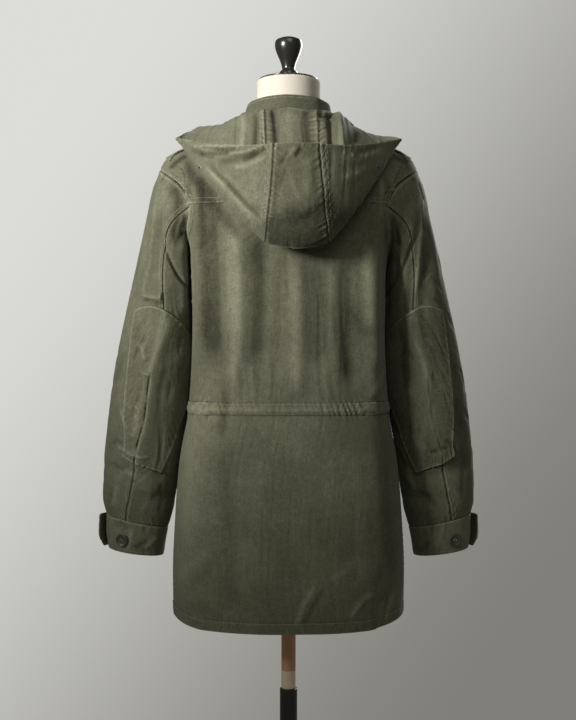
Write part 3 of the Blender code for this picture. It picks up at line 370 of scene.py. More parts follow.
SLEEVE_FOLDS = {
    LEFT: (
        (1.6, 4.0, (176, 157), (169, 162), (162, 172)),
        (4.0, 4.5, (182, 234), (183, 270), (183, 320)),
        (-3.0, 1.8, (187, 212), (188, 250), (188.5, 310)),
        (-2.0, 3.0, (186, 214), (185, 224), (182, 238)),
        (1.4, 2.0, (183, 216), (178, 226), (176, 238)),
        (-1.4, 2.2, (181, 214), (176, 226), (174, 242)),
        (-2.4, 1.6, (141, 299.6), (151, 301), (161, 304), (164, 303)),
        (1.8, 1.8, (142, 296), (152, 297), (161, 299)),
        (-2.0, 1.6, (163, 292), (163, 299), (163.5, 306)),
        (1.8, 1.2, (160, 294), (160.5, 300)),
        (2.2, 2.6, (138, 342), (143, 350), (146, 362)),
        (1.6, 1.2, (141, 372), (146, 374.5), (150, 375)),
        (1.6, 1.2, (135.6, 405), (140.9, 413.8)),
        (1.6, 1.2, (134.6, 415), (140, 422)),
        (1.6, 1.2, (130, 433), (134.5, 437)),
        (1.4, 1.8, (157, 192), (153, 226), (150, 260), (140, 308)),
        (-1.2, 2.2, (126, 350), (120, 366), (116, 384)),
        (2.0, 1.4, (120.6, 408), (124, 420), (129, 432)),
        (-1.5, 2.0, (112, 446), (117, 440), (124, 446)),
        (2.0, 1.4, (116, 446), (123, 449), (131, 455), (141, 458), (152, 456)),
        (-1.4, 1.8, (112, 462), (118, 468), (126, 470)),
        (1.3, 1.6, (124, 470), (130, 474), (136, 476)),
        (-1.2, 1.8, (126, 478), (132, 482), (138, 480)),
        (-1.3, 2.4, (112, 486), (111, 498), (109, 506)),
        (1.2, 2.4, (116, 484), (115, 496), (112, 508)),
        (1.0, 3.0, (152, 486), (148, 500), (143, 514)),
        (-1.2, 3.0, (160, 480), (163, 500), (158, 514)),
        (1.2, 2.6, (168, 476), (170, 460), (172, 446)),
    ),
    RIGHT: (
        (1.6, 4.0, (401, 157), (408, 162), (414, 172)),
        (-2.5, 5.0, (426, 200), (425, 260), (422, 310), (425, 360)),
        (-3.0, 1.8, (392, 212), (391, 250), (388, 330)),
        (2.2, 2.2, (418, 184), (421, 200), (421.6, 218), (419, 262), (415, 300)),
        (-1.6, 3.0, (393, 216), (396, 230), (400, 248)),
        (1.6, 2.6, (402, 250), (405, 280), (398, 312)),
        (-1.4, 2.6, (396, 226), (399, 250), (396, 284)),
        (-1.4, 3.0, (404, 340), (402, 364), (406, 392)),
        (1.0, 4.0, (420, 320), (424, 360), (436, 400)),
        (-1.5, 2.0, (430, 452), (440, 450), (450, 447)),
        (-1.2, 2.0, (444, 440), (452, 444), (454, 452)),
        (1.2, 2.0, (452, 430), (454, 440), (457, 452)),
        (-1.0, 2.4, (462, 440), (464, 470), (462, 500)),
        (1.0, 2.0, (446, 486), (455, 492), (462, 500)),
        (-1.0, 2.0, (444, 494), (452, 500), (458, 508)),
        (-1.2, 3.0, (420, 490), (430, 500), (440, 510)),
        (1.2, 3.0, (400, 440), (408, 470), (416, 500)),
        (-1.0, 3.0, (456, 396), (459, 414), (462, 432)),
    ),
}
SLEEVE_SHADES = {
    LEFT: (
        (-1.5, 7.0, (172, 178), (178, 200), (178, 222), (172, 246)),
        (-0.5, 6.0, (162, 206), (154, 250), (146, 296)),
        (0.7, 3.0, (167, 307), (159, 333), (154, 358), (149, 376)),
        (-0.5, 7.0, (176, 322), (170, 350), (166, 400)),
        (-0.4, 7.0, (140, 316), (136, 350), (130, 392)),
        (0.7, 3.0, (143, 384), (139, 412), (133, 440)),
    ),
    RIGHT: (
        (-0.5, 9.0, (428, 300), (430, 360), (434, 420)),
        (0.8, 2.0, (418, 180), (421, 200), (421.6, 220), (418, 266)),
    ),
}
SLEEVE_LAPS = {
    LEFT: ((1.8, 5.0, (160, 181), (163.4, 176.5), (169.6, 168), (175.4, 162)),),
    RIGHT: ((1.8, 5.0, (403, 160), (408, 169), (410.7, 175.8), (415, 181)),),
}
SLEEVE_PUCKERS = {
    LEFT: (
        (151, 366, 141, 428, 0.55, 4.5, 41),
        (158, 190, 141, 306, 0.25, 3.0, 42),
        (110, 508, 164, 524, 0.50, 5.0, 43),
        (112, 440, 150, 474, 0.70, 7.0, 44),
    ),
    RIGHT: (
        (430, 364, 452, 440, 0.35, 4.0, 51),
        (416, 184, 416, 300, 0.20, 3.0, 52),
        (410, 522, 470, 508, 0.45, 5.0, 53),
        (425, 463, 456, 450, 0.50, 6.0, 54),
    ),
}
CUFF_FOLDS = {
    LEFT: (
        (-1.8, 3.0, (112, 524), (120, 524), (128, 530)),
        (1.6, 2.4, (133, 528), (131, 540), (127, 552)),
        (-1.8, 2.6, (150, 542), (142, 545), (134, 549)),
        (1.4, 2.4, (158, 536), (150, 544), (144, 550)),
        (-1.6, 1.6, (143, 527), (146, 534)),
    ),
    RIGHT: (
        (0.8, 3.0, (436, 530), (436, 552)),
        (-0.8, 3.0, (424, 530), (426, 552)),
        (1.4, 2.4, (444, 520), (440, 546)),
        (-1.4, 2.6, (430, 540), (424, 548), (418, 552)),
    ),
}

# The first of the two eyelets beside each free edge of the hood, how far below it the second is,
# the largest face of its middle, a disc painted near black as the shadow of its hole, and its
# turned outline.
EYELETS = {"left": (199.9, 167.7), "right": (377.0, 167.7)}
EYELET_STEP, EYELET_HOLE_FACE = 0.027, 3.5e-7
EYELET = (
    (0, 0.00005), (0.0009, 0.00005), (0.0017, 0.0001), (0.0019, 0.0006), (0.0024, 0.0007),
    (0.0029, 0.0004), (0.0031, -0.0003), (0, -0.0004),
)


def monotone(x, y):
    """A smooth curve through the points (x, y) that doesn't overshoot them, as a function."""
    x, y = np.asarray(x, float), np.asarray(y, float)
    steps = np.diff(x)
    rises = np.diff(y) / steps
    slopes = np.zeros_like(y)
    both = rises[:-1] * rises[1:]
    total = np.where(both > 0, rises[:-1] + rises[1:], 1.0)
    slopes[1:-1] = np.where(both > 0, 2 * both / total, 0.0)
    slopes[0], slopes[-1] = rises[0], rises[-1]

    def curve(at):
        at = np.clip(at, x[0], x[-1])
        i = np.clip(np.searchsorted(x, at, side="right") - 1, 0, len(x) - 2)
        h = steps[i]
        s = (at - x[i]) / h
        start = (1 + 2 * s) * (1 - s) ** 2 * y[i] + s * (1 - s) ** 2 * h * slopes[i]
        return start + s * s * (3 - 2 * s) * y[i + 1] + s * s * (s - 1) * h * slopes[i + 1]

    return curve


def curves(columns, rows):
    """One smooth curve for each named column after the first, which is what they run along."""
    table = np.array(rows, float)
    return {name: monotone(table[:, 0], table[:, i]) for i, name in enumerate(columns) if i}


def values(curves_of, at):
    """What each named curve says at the same place."""
    return {name: curve(at) for name, curve in curves_of.items()}


BODY_CURVE = curves(BODY_COLUMNS, BODY)
SLEEVE_CURVE = curves(SLEEVE_COLUMNS, SLEEVE)
CUFF_CURVE = curves(SLEEVE_COLUMNS, CUFF)
SEAM_CURVE = curves(SEAM_ANGLE_COLUMNS, SEAM_ANGLES)
HOOD_CURVE = curves(HOOD_COLUMNS, HOOD)
COLLAR_CURVE = curves(COLLAR_COLUMNS, COLLAR)
FORM_CURVE = curves(FORM_COLUMNS, FORM)


def bell(distance):
    """1 at the middle of a fold, falling smoothly to almost nothing two half widths away."""
    return np.exp(-(distance**2))


def ease(share):
    """A share from 0 to 1 that starts and ends level."""
    return share * share * (3 - 2 * share)


def span(value, low, high, soft):
    """1 between low and high, fading out over the distance soft at both ends."""
    up = np.clip((value - low) / soft + 0.5, 0, 1)
    return ease(up) * ease(np.clip((high - value) / soft + 0.5, 0, 1))


def normals(surface, u, v, step_u, step_v):
    """Unit normals of a surface at the parameters u and v, from its two tangents."""
    along_u = surface(u + step_u, v) - surface(u - step_u, v)
    along_v = surface(u, v + step_v) - surface(u, v - step_v)
    across = np.cross(along_u, along_v)
    return across / np.linalg.norm(across, axis=-1, keepdims=True)


# ---------------------------------------------------------------- the body of the jacket
def ring_radius(angle, at, squareness=None):
    """Radius of a squared oval at an angle about its centre; the back is at negative angles."""
    c, s = np.abs(np.cos(angle)), np.sin(angle)
    depth = np.where(s < 0, at["back"], at["front"])
    power = at["squareness"] if squareness is None else squareness
    return ((c / at["half_width"]) ** power + (np.abs(s) / depth) ** power) ** (-1 / power)


def body_relief(x, y, z):
    """Height of the body's large folds and of the waist casing above its plain rings."""
    relief = WAIST_RAISE * span(z, WAIST_Z - WAIST_BAND / 2, WAIST_Z + WAIST_BAND / 2, 0.003)
    for side, fold_x, low, high, half_width, height in FOLDS:
        facing = np.clip(-y / 0.06 if side == "back" else y / 0.06, 0, 1)
        shape = bell((x - fold_x) / half_width) * span(z, low, high, 0.08)
        relief = relief + height * facing * shape
    return relief


def body(angle, z):
    """A point of the jacket's outer surface at an angle about the body's axis."""
    at = values(BODY_CURVE, z)
    radius = ring_radius(angle, at)
    x, y = radius * np.cos(angle), radius * np.sin(angle)
    radius = radius + body_relief(x, y, z)
    x, y = radius * np.cos(angle), radius * np.sin(angle)
    return np.stack(np.broadcast_arrays(x, y + at["centre_y"], z - at["lean"] * y), axis=-1)


def body_normals(angle, z):
    """Unit directions out of the body's surface."""
    return normals(body, angle, z, 0.004, 0.0008)


def body_angle(x, z, facing):
    """The angle at which the body's plain ring has this x, on the back (-1) or the front (1)."""
    at = values(BODY_CURVE, z)
    depth = at["back"] if facing < 0 else at["front"]
    share = np.clip(np.abs(x) / at["half_width"], 0, 1) ** at["squareness"]
    return np.arctan2(facing * depth * (1 - share) ** (1 / at["squareness"]), x)


def shoulder_ring(x, y):
    """The height of the ring that passes through (x, y) on the shoulder's slope."""
    low, high = np.full(np.shape(x), 1.300), np.full(np.shape(x), NECKLINE_Z)
    for _ in range(30):
        z = (low + high) / 2
        at = values(BODY_CURVE, z)
        offset = y - at["centre_y"]
        inside = np.hypot(x, offset) < ring_radius(np.arctan2(offset, x), at)
        low, high = np.where(inside, z, low), np.where(inside, high, z)
    return (low + high) / 2, offset


def armhole(turn):
    """Angle and height on the body of the armhole's edge; turn runs from its top over the back."""
    z = ARMHOLE_MID_Z + ARMHOLE_HALF * np.cos(turn)
    reach = np.abs(np.sin(turn)) ** np.where(np.cos(turn) > 0, 2.0, 1.25)
    return np.where(np.sin(turn) > 0, -ARMHOLE_BACK, ARMHOLE_FRONT) * reach, z


def side_limit(z, facing):
    """Angle of the right-hand armhole or side seam at this height, on the back or the front."""
    cosine = np.clip((z - ARMHOLE_MID_Z) / ARMHOLE_HALF, -1, 1)
    angle, _ = armhole(-facing * np.arccos(cosine))
    return angle


def collar(angle, z, out=0.0):
    """The stand collar's outer surface, or a surface round it; it leans as the neckline does."""
    at = values(COLLAR_CURVE, z)
    radius = ring_radius(angle, at, squareness=2.1) + out
    x, y = radius * np.cos(angle), radius * np.sin(angle)
    centre = BODY_CURVE["centre_y"](NECKLINE_Z)
    return np.stack(np.broadcast_arrays(x, y + centre, z - at["lean"] * y), axis=-1)


def loose_hood(across, along):
    """The hood's stations: across runs from its left face edge (-1) to its right (1)."""
    at = values(HOOD_CURVE, along)
    side, away = np.sign(across), np.abs(across)
    in_gusset = np.clip(away / GUSSET_SHARE, 0, 1)
    out = np.clip((away - GUSSET_SHARE) / (1 - GUSSET_SHARE), 0, 1)
    bulge = 4 * out * (1 - out)
    pouch = span(along, 0.30, 1.20, 0.30)
    x = at["shift"] * (1 - out) + side * (
        at["gusset"] * in_gusset + (at["edge_x"] - at["gusset"]) * out + at["bow_x"] * bulge
    )
    crown = GUSSET_CROWN * pouch * in_gusset**2
    y = at["centre_y"] + crown + (at["edge_y"] - at["centre_y"] - crown) * out + at["bow_y"] * bulge
    seam_z = at["centre_z"] + at["seam_rise"] * in_gusset**2
    drop = np.where(side > 0, at["right_drop"], at["left_drop"]) * out**3
    z = seam_z + (at["edge_z"] - seam_z) * out + at["bow_z"] * bulge - drop
    return np.stack(np.broadcast_arrays(x, y, z), axis=-1)


def hood(across, along):
    """The hood's outside, with its first row sewn round the foot of the collar."""
    seam = collar(HOOD_SEAM_HALF * across - math.pi / 2, HOOD_SEAM_Z, out=3 * LAID)
    share = np.clip(1 - along / HOOD_SEAM_SHARE, 0, 1) ** 2
    return loose_hood(across, along) + (seam - loose_hood(across, 0 * along)) * share[..., None]


def oval(at, turn):
    """A ring spanned by its outer and inner points and its depth; a quarter turn is its back."""
    middle_x, middle_z = (at["outer_x"] + at["inner_x"]) / 2, (at["outer_z"] + at["inner_z"]) / 2
    half_x, half_z = (at["outer_x"] - at["inner_x"]) / 2, (at["outer_z"] - at["inner_z"]) / 2
    x = middle_x + half_x * np.cos(turn)
    z = middle_z + half_z * np.cos(turn)
    y = at["centre_y"] - at["half_depth"] * np.sin(turn)
    return np.stack(np.broadcast_arrays(x, y, z), axis=-1)


def crease_relief(turn, along):
    """Height of the sleeve's large creases above its plain rings."""
    relief = 0 * turn * along
    for at, angle, half_along, half_angle, slant, height in CREASES:
        off_along = along - at
        off_angle = np.degrees(np.angle(np.exp(1j * (turn - math.radians(angle)))))
        off_angle = off_angle - slant * off_along / 0.1
        relief = relief + height * bell(off_along / half_along) * bell(off_angle / half_angle)
    return relief * np.clip(along / 0.1, 0, 1) * np.clip((1 - along) / 0.05, 0, 1)


def plain_sleeve(turn, along):
    """The right sleeve without creases; it starts as the armhole's shape and fades to an oval."""
    ring = oval(values(SLEEVE_CURVE, along), turn)
    first = oval(values(SLEEVE_CURVE, 0 * along), turn)
    fade = np.clip(1 - along / SLEEVE_CAP, 0, 1) ** 2
    return ring + (body(*armhole(turn)) - first) * np.asarray(fade)[..., None]


def turned_out(across, away):
    """Unit directions, each turned round where it doesn't point away."""
    return across * np.sign(np.sum(across * away, axis=-1, keepdims=True))


def sleeve_out(turn, along):
    """Unit direction from the sleeve's middle line out through a point of its plain surface."""
    across = normals(plain_sleeve, turn, along, 0.02, 0.004)
    middle = oval(values(SLEEVE_CURVE, along), turn + math.pi)
    return turned_out(across, plain_sleeve(turn, along) - middle)


def sleeve(turn, along):
    """A point of the right sleeve's outer surface."""
    relief = crease_relief(turn, along)
    return plain_sleeve(turn, along) + sleeve_out(turn, along) * relief[..., None]


def sided(points, side):
    """The same points on the left or on the right."""
    return points * np.array([side, 1.0, 1.0])


def cuff(turn, down):
    """A point of the right cuff's outer surface, from its seam (0) to its edge (1)."""
    return oval(values(CUFF_CURVE, down), turn)


def cuff_out(turn, down):
    """Unit direction out through a point of the cuff."""
    across = normals(cuff, turn, down, 0.02, 0.01)
    return turned_out(across, cuff(turn, down) - cuff(turn + math.pi, down))


def form_ring(angle, z):
    """A level ring of the torso's own figure."""
    radius = ring_radius(angle, values(FORM_CURVE, z))
    return np.stack([radius * np.cos(angle), radius * np.sin(angle), z + 0 * angle], axis=-1)


def shoulder_form_ring(angle, z):
    """A ring of the torso's shoulders, which carry the jacket."""
    return body(angle, z) - body_normals(angle, z) * (CLOTH + FORM_GAP)


def neck_ring(angle, z):
    """A ring of the neck, which leans less and less towards its level top."""
    lean = float(BODY_CURVE["lean"](NECKLINE_Z)) * (NECK_TOP_Z - z) / (NECK_TOP_Z - NECKLINE_Z)
    y = NECK_RADIUS * np.sin(angle)
    return np.stack([NECK_RADIUS * np.cos(angle), y + 0.002, z - lean * y], axis=-1)


# ---------------------------------------------------------------- where the picture shows a fold
CAMERA_AWAY, CAMERA_Z = 1.8, 1.03  # how far behind the jacket's middle the camera is, and how high
PICTURE_MIDDLE = (288.5, 360)  # the picture's point that the camera faces
PICTURE_UNIT = 0.00158  # real size of one unit of the picture, at the jacket's middle


def seen(points):
    """Where points appear in the picture, across and down."""
    unit = (points[..., 1] + CAMERA_AWAY) / CAMERA_AWAY * PICTURE_UNIT
    across, down = PICTURE_MIDDLE
    return np.stack([across + points[..., 0] / unit, down - (points[..., 2] - CAMERA_Z) / unit], -1)


def along_line(places, line):
    """Distance from each place to a broken line, the share of the way along it, and its side.

    The side is +1 on the picture's left of a line that runs down, and -1 on its right.
    """
    line = np.array(line, float)
    total = line_length(line)
    best = np.full(places.shape[:-1], 1e9)
    share, side, start = np.zeros_like(best), np.zeros_like(best), 0.0
    for a, b in zip(line[:-1], line[1:]):
        length = np.linalg.norm(b - a)
        t = np.clip(((places - a) @ (b - a)) / length**2, 0, 1)
        off = places - (a + t[..., None] * (b - a))
        distance = np.linalg.norm(off, axis=-1)
        near = distance < best
        best = np.where(near, distance, best)
        share = np.where(near, (start + t * length) / total, share)
        turn = (b - a)[0] * off[..., 1] - (b - a)[1] * off[..., 0]
        side = np.where(near, np.sign(turn), side)
        start += length
    return best, share, side


def line_length(line):
    return np.linalg.norm(np.diff(np.array(line, float), axis=0), axis=1).sum()


def ripple(s, wave, seed):
    """An uneven ripple of about this wavelength along s, between about -1 and 1."""
    dice = np.random.RandomState(seed)
    total = 0 * s
    for _ in range(5):
        total = total + np.sin(s * 2 * math.pi / (wave * dice.uniform(0.6, 1.6)) + dice.uniform(0, 6.3))
    return total / 2.6


def unit(ways):
    return ways / np.maximum(np.linalg.norm(ways, axis=-1, keepdims=True), 1e-12)


# How each kind of edge shapes the cloth beside it and paints it paler or darker. A bell is its
# rise, its tone (+ paler), its distance from the edge and its half width. A band reaches from the
# edge to a distance, and fades. The tone is painted shade in grooves, below raised edges and where
# cloth goes under, and painted light on raised edges and lips, with edges also worn paler.
EDGE_BELLS = {
    "plain": ((-0.0006, 0, 0, 0.0007), (0, 0.8, 0, 0.0012)),
    "under": ((-0.0002, -0.25, 0, 0.0012),),
    "seam": ((-0.0010, -1.2, 0, 0.0014), (0.0004, 0, 0.004, 0.0025), (0, 0.65, 0.0034, 0.0018)),
    "lap": ((-0.0012, 0, 0, 0.0008), (0, 1.1, 0.0016, 0.0016), (0, -0.6, 0.0102, 0.0018)),
    "fell": ((-0.0006, 0, 0, 0.0008), (0, 0.5, 0.0012, 0.0012), (0, -0.2, 0.0100, 0.0014)),
    "hem": ((-0.0007, 0, 0, 0.0007), (0, 0.9, 0, 0.0016), (0, -0.35, 0.0175, 0.0018)),
    "ditch": ((0.0014, 0, 0.0165, 0.004), (-0.0010, 0, 0.0110, 0.002), (0, 0.90, 0.0162, 0.0024)),
    "patch": (
        (0.0004, 0, 0.003, 0.002), (-0.0013, 0, 0, 0.0009),
        (0, 1.1, 0.0024, 0.0016), (0, -1.5, 0, 0.0010),
    ),
}
EDGE_BANDS = {
    "lap": (0.0009, 0, 0.0095, 0.0015),
    "fell": (0.0004, 0, 0.0095, 0.0015),
    "hem": (0.0007, 0, 0.0165, 0.0020),
    "ditch": (0, -1.5, 0.0128, 1e-9),
}
# The gathers carry painted light on their crests and painted shade in their hollows.
GATHER_RISE, GATHER_SHADING = 0.00034, 0.24  # of the small gathers beside an edge
# The collar and the gusset are darker all over as painted shade, since both lie in more shade; the cuffs
# are paler all over.
COLLAR_SHADE, GUSSET_SHADE, CUFF_TONE = -0.70, -0.30, 0.30  # how pale these are all over
WEAR_AND_SHADE_LIMIT = 1.5


class Skin:
    """One face of a piece of cloth: a grid of points, rows by columns, each with its outward way.

    left, right, bottom and top are distances from its edges. The folds and edges add up in rise,
    in metres, and in a tone where + is paler cloth: painted light and painted shade, with edges
    also worn paler. side tells where the picture shows the points.
    """

    def __init__(self, points, outward, closed=False, side=RIGHT):
        self.points, self.outward, self.closed, self.side = points, outward, closed, side
        across = np.linalg.norm(np.diff(points, axis=1), axis=-1)
        along = np.linalg.norm(np.diff(points, axis=0), axis=-1)
        self.left = np.concatenate([np.zeros((len(points), 1)), np.cumsum(across, 1)], 1)
        self.right = self.left[:, -1:] - self.left
        self.bottom = np.concatenate([np.zeros((1, points.shape[1])), np.cumsum(along, 0)], 0)
        self.top = self.bottom[-1:] - self.bottom
        self.wear, self.rise = np.zeros(points.shape[:2]), np.zeros(points.shape[:2])
        self.picture = seen(sided(points, side))
        self.behind = np.clip(-outward[..., 1] / 0.25, 0, 1)

    def beside(self, line, ends):
        """Distance from a line of the picture, share of the way along it, its side, and a fade."""
        distance, share, side = along_line(self.picture, line)
        return distance, share, side, np.clip(np.minimum(share, 1 - share) / ends, 0, 1)

    def follow(self, folds=(), shades=(), laps=(), puckers=(), mask=None, soft=0.45):
        """Adds the rows of the picture's tables, where the mask lets them show."""
        mask = self.behind if mask is None else mask
        for height, half_width, *line in folds:
            self.fold(height, half_width, line, mask)
        for amount, half_width, *line in shades:
            self.shade(amount, half_width, line)
        for height, reach, *line in laps:
            self.lap(height, reach, line, mask, soft)
        for x0, y0, x1, y1, height, reach, seed in puckers:
            self.pucker(height, reach, ((x0, y0), (x1, y1)), seed, mask)
        return self

    def fold(self, height, half_width, line, mask):
        """A ridge, or a trough where height (mm) is negative, with painted light along a ridge and
        painted shade in a trough.
        """
        distance, _, _, fade = self.beside(line, 0.18)
        shape = bell(distance / half_width) * ease(fade) * mask
        self.rise += height / 1000 * shape
        # painted light along a ridge, painted shade in a trough
        self.wear += np.clip(height / 2.2 / max(half_width / 3.5, 1.0), -0.9, 0.9) * shape

    def shade(self, amount, half_width, line):
        """Painted light on the cloth, or painted shade where amount is negative, without a fold."""
        distance, _, _, fade = self.beside(line, 0.18)
        self.wear += amount * bell(distance / half_width) * fade * self.behind

    def lap(self, height, reach, line, mask, soft):
        """A lapped edge, or a soft one: the side that lies left of a downward line is lower. A sharp edge
        gets a painted highlight on its lip and a painted shadow just below it; a soft one gets painted
        shade over its lower side.
        """
        sharp = soft < 1
        distance, _, side, fade = self.beside(line, 0.06 if sharp else 0.2)
        signed = distance * side
        step = 1 / (1 + np.exp(-np.clip(signed / soft, -30, 30)))
        lower = step * bell(np.maximum(signed, 0) / reach) * fade * mask
        lip = bell(signed + 1.0) * fade * mask * sharp
        self.rise += height / 1000 * (0.35 * lip - lower)
        if sharp:
            # painted highlight on the lip, painted shadow just below it
            self.wear += 0.6 * lip - 1.1 * bell((signed - 0.4) / 0.8) * fade * mask
        else:
            # painted shade over the lower side
            self.wear -= 0.40 * height * lower

    def pucker(self, height, reach, line, seed, mask, wave=3.4):
        """Small gathers across a line, this many mm high, with painted light on their crests and painted
        shade in their hollows.
        """
        distance, share, side, fade = self.beside(line, 0.08)
        wavy = ripple(share * line_length(line) + 0.25 * distance * side, wave, seed)
        shape = wavy * bell(distance / reach) * fade * mask
        self.rise += height / 1000 * shape
        # painted light on the crests, painted shade in the hollows
        self.wear += 0.45 * height * shape

    def drape(self, amount, across, along, seed, slant=0.0, near=0.020):
        """Soft irregular folds over the whole piece, of about this width, length and height in mm, with
        painted light on their crests and painted shade in their hollows.
        """
        dice = np.random.RandomState(seed)
        s, t = self.left + slant * self.bottom, self.bottom
        waves = []
        for count, stretch in ((8, 1.0), (5, 2.6)):
            total = 0 * s
            for _ in range(count):
                k = 2 * math.pi / (across * stretch * dice.uniform(0.6, 1.7))
                m = 2 * math.pi / (along * stretch * dice.uniform(0.5, 1.8)) * dice.choice((-1, 1))
                total = total + np.sin(k * s + m * t + dice.uniform(0, 6.3))
            waves.append(total / math.sqrt(count / 2))
        fine, broad = waves
        shape = 0.5 * fine + 0.9 * (bell(fine / 0.55) - 0.5)
        shape = shape * np.clip(0.55 + 0.5 * broad, 0.1, 1.3)
        edges = np.minimum(self.bottom, self.top)
        if not self.closed:
            edges = np.minimum(edges, np.minimum(self.left, self.right))
        shape = shape * np.clip(edges / near, 0.15, 1)
        self.rise += amount / 1000 * shape
        # painted light on the crests, painted shade in the hollows
        self.wear += 0.10 * min(amount, 1.2) * shape
        return self

    def edge(self, kind, *sides, seed=3, gather=1.0):
        """Finishes edges in one of the ways above, with small gathers beside them, and their painted
        light and shade.
        """
        for number, side in enumerate(sides):
            d = getattr(self, side)
            s = self.bottom if side in ("left", "right") else self.left
            rise, wear, end, fade = EDGE_BANDS.get(kind, (0, 0, 0, 1))
            band = np.clip((end - d) / fade, 0, 1)
            rise, wear = rise * band, wear * band
            for bell_rise, bell_wear, at, half_width in EDGE_BELLS[kind]:
                rise = rise + bell_rise * bell((d - at) / half_width)
                wear = wear + bell_wear * bell((d - at) / half_width)
            wavy = gather * ripple(s + 0.3 * d, 0.0085, seed + number) * bell((d - 0.005) / 0.008)
            uneven = 1 + 0.35 * ripple(s, 0.016, seed + 7 + number)
            self.rise += rise + GATHER_RISE * wavy
            # painted light and shade of the edge's kind and of the gathers, with edges also worn paler
            self.wear += wear * uneven + GATHER_SHADING * wavy
        return self

    def settle(self):
        """Moves the points by the rise so far, and works out which way the moved cloth faces."""
        self.points = self.points + self.outward * self.rise[..., None]
        self.picture = seen(sided(self.points, self.side))
        padded = self.points
        if self.closed:
            padded = np.concatenate([padded[:, -1:], padded, padded[:, :1]], 1)
        ways = np.cross(np.gradient(padded, axis=1), np.gradient(padded, axis=0))
        self.facing = turned_out(unit(ways[:, 1:-1] if self.closed else ways), self.outward)
        self.rise = np.zeros_like(self.rise)
        return self

    def line(self, side, inset, start=0.0, end=1.0):
        """Points and outward ways of the line that runs at an inset from one edge."""
        distance, points, facing = getattr(self, side), self.points, self.facing
        if side in ("bottom", "top"):
            distance = distance.T
            points, facing = points.transpose(1, 0, 2), facing.transpose(1, 0, 2)
        order = slice(None) if side in ("left", "bottom") else slice(None, None, -1)
        distance, points, facing = distance[:, order], points[:, order], facing[:, order]
        count = len(distance)
        rows = np.arange(int(start * (count - 1)), int(round(end * (count - 1))) + 1)
        at = np.array([np.interp(inset, distance[r], np.arange(distance.shape[1])) for r in rows])
        low = np.clip(np.floor(at).astype(int), 0, distance.shape[1] - 2)
        share = (at - low)[:, None]
        return tuple(g[rows, low] * (1 - share) + g[rows, low + 1] * share for g in (points, facing))

    def lines(self, sides, insets, **part):
        """A line at each inset from each of these edges."""
        return [self.line(side, inset, **part) for side in sides for inset in insets]


# ---------------------------------------------------------------- meshes
def add_object(name, data):
    made = bpy.data.objects.new(name, data)
    bpy.context.scene.collection.objects.link(made)
    return made


def finished(mesh, sharp, *materials):
    """The same mesh, smooth except at edges sharper than so many degrees, with its materials."""
    mesh.shade_smooth()
    if sharp:
        mesh.set_sharp_from_angle(angle=math.radians(sharp))
    for material in materials:
        mesh.materials.append(material)
    return mesh


def to_mesh(shape, name):
    mesh = bpy.data.meshes.new(name)
    shape.to_mesh(mesh)
    shape.free()
    return mesh


def add_mesh(name, vertices, faces, material, sharp=50):
    """An object from its points and from arrays of faces, which each have one row for a face."""
    vertices = np.asarray(vertices, float).reshape(-1, 3)
    sizes = np.concatenate([np.full(len(f), f.shape[1]) for f in faces])
    loops = np.concatenate([f.ravel() for f in faces])
    mesh = bpy.data.meshes.new(name)
    mesh.vertices.add(len(vertices))
    mesh.vertices.foreach_set("co", vertices.ravel())
    mesh.loops.add(len(loops))
    mesh.loops.foreach_set("vertex_index", loops)
    mesh.polygons.add(len(sizes))
    mesh.polygons.foreach_set("loop_start", np.concatenate([[0], np.cumsum(sizes)[:-1]]))
    mesh.update(calc_edges=True)
    mesh.validate()
    shape = bmesh.new()
    shape.from_mesh(mesh)
    if shape.calc_volume(signed=True) < 0:
        bmesh.ops.reverse_faces(shape, faces=shape.faces)
        shape.to_mesh(mesh)
    shape.free()
    return add_object(name, finished(mesh, sharp, material))


def grid_faces(rows, columns, closed):
    """Numbers of a grid's points and its faces; a closed grid's first column is also its last."""
    index = np.arange(rows * columns).reshape(rows, columns)
    if closed:
        index = np.concatenate([index, index[:, :1]], 1)
    corners = [index[:-1, :-1], index[:-1, 1:], index[1:, 1:], index[1:, :-1]]
    return index, np.stack(corners, -1).reshape(-1, 4)


def coarse_faces(rows, columns, closed, step):
    """Larger faces over a grid of points, which still meet every point of its border."""
    width = columns + closed
    ups = sorted({*range(0, rows, step), rows - 1})
    sides = sorted({*range(0, width, step), width - 1})
    found = {}
    for i0, i1 in zip(ups, ups[1:]):
        for j0, j1 in zip(sides, sides[1:]):
            ring = [(i0, j) for j in (range(j0, j1) if i0 == 0 else (j0,))]
            ring += [(i, j1) for i in (range(i0, i1) if j1 == width - 1 and not closed else (i0,))]
            ring += [(i1, j) for j in (range(j1, j0, -1) if i1 == rows - 1 else (j1,))]
            ring += [(i, j0) for i in (range(i1, i0, -1) if j0 == 0 and not closed else (i1,))]
            found.setdefault(len(ring), []).append([i * columns + j % columns for i, j in ring])
    return [np.array(f) for f in found.values()]


def add_attribute(piece, name, kind, values_of):
    attribute = piece.data.attributes.new(name, kind, "POINT")
    attribute.data.foreach_set("value" if kind == "FLOAT" else "vector", np.ravel(values_of))


def fasten(piece, slot, *nodes):
    """Makes a piece ride on the part and stand for its CAD nodes, which it hides; slot, the name of its
    finish, is not used.
    """
    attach(piece, "root")
    if nodes:
        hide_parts(*nodes)
    return piece


SHEETS = []  # each piece of cloth, with the width, length and area of its smooth surface


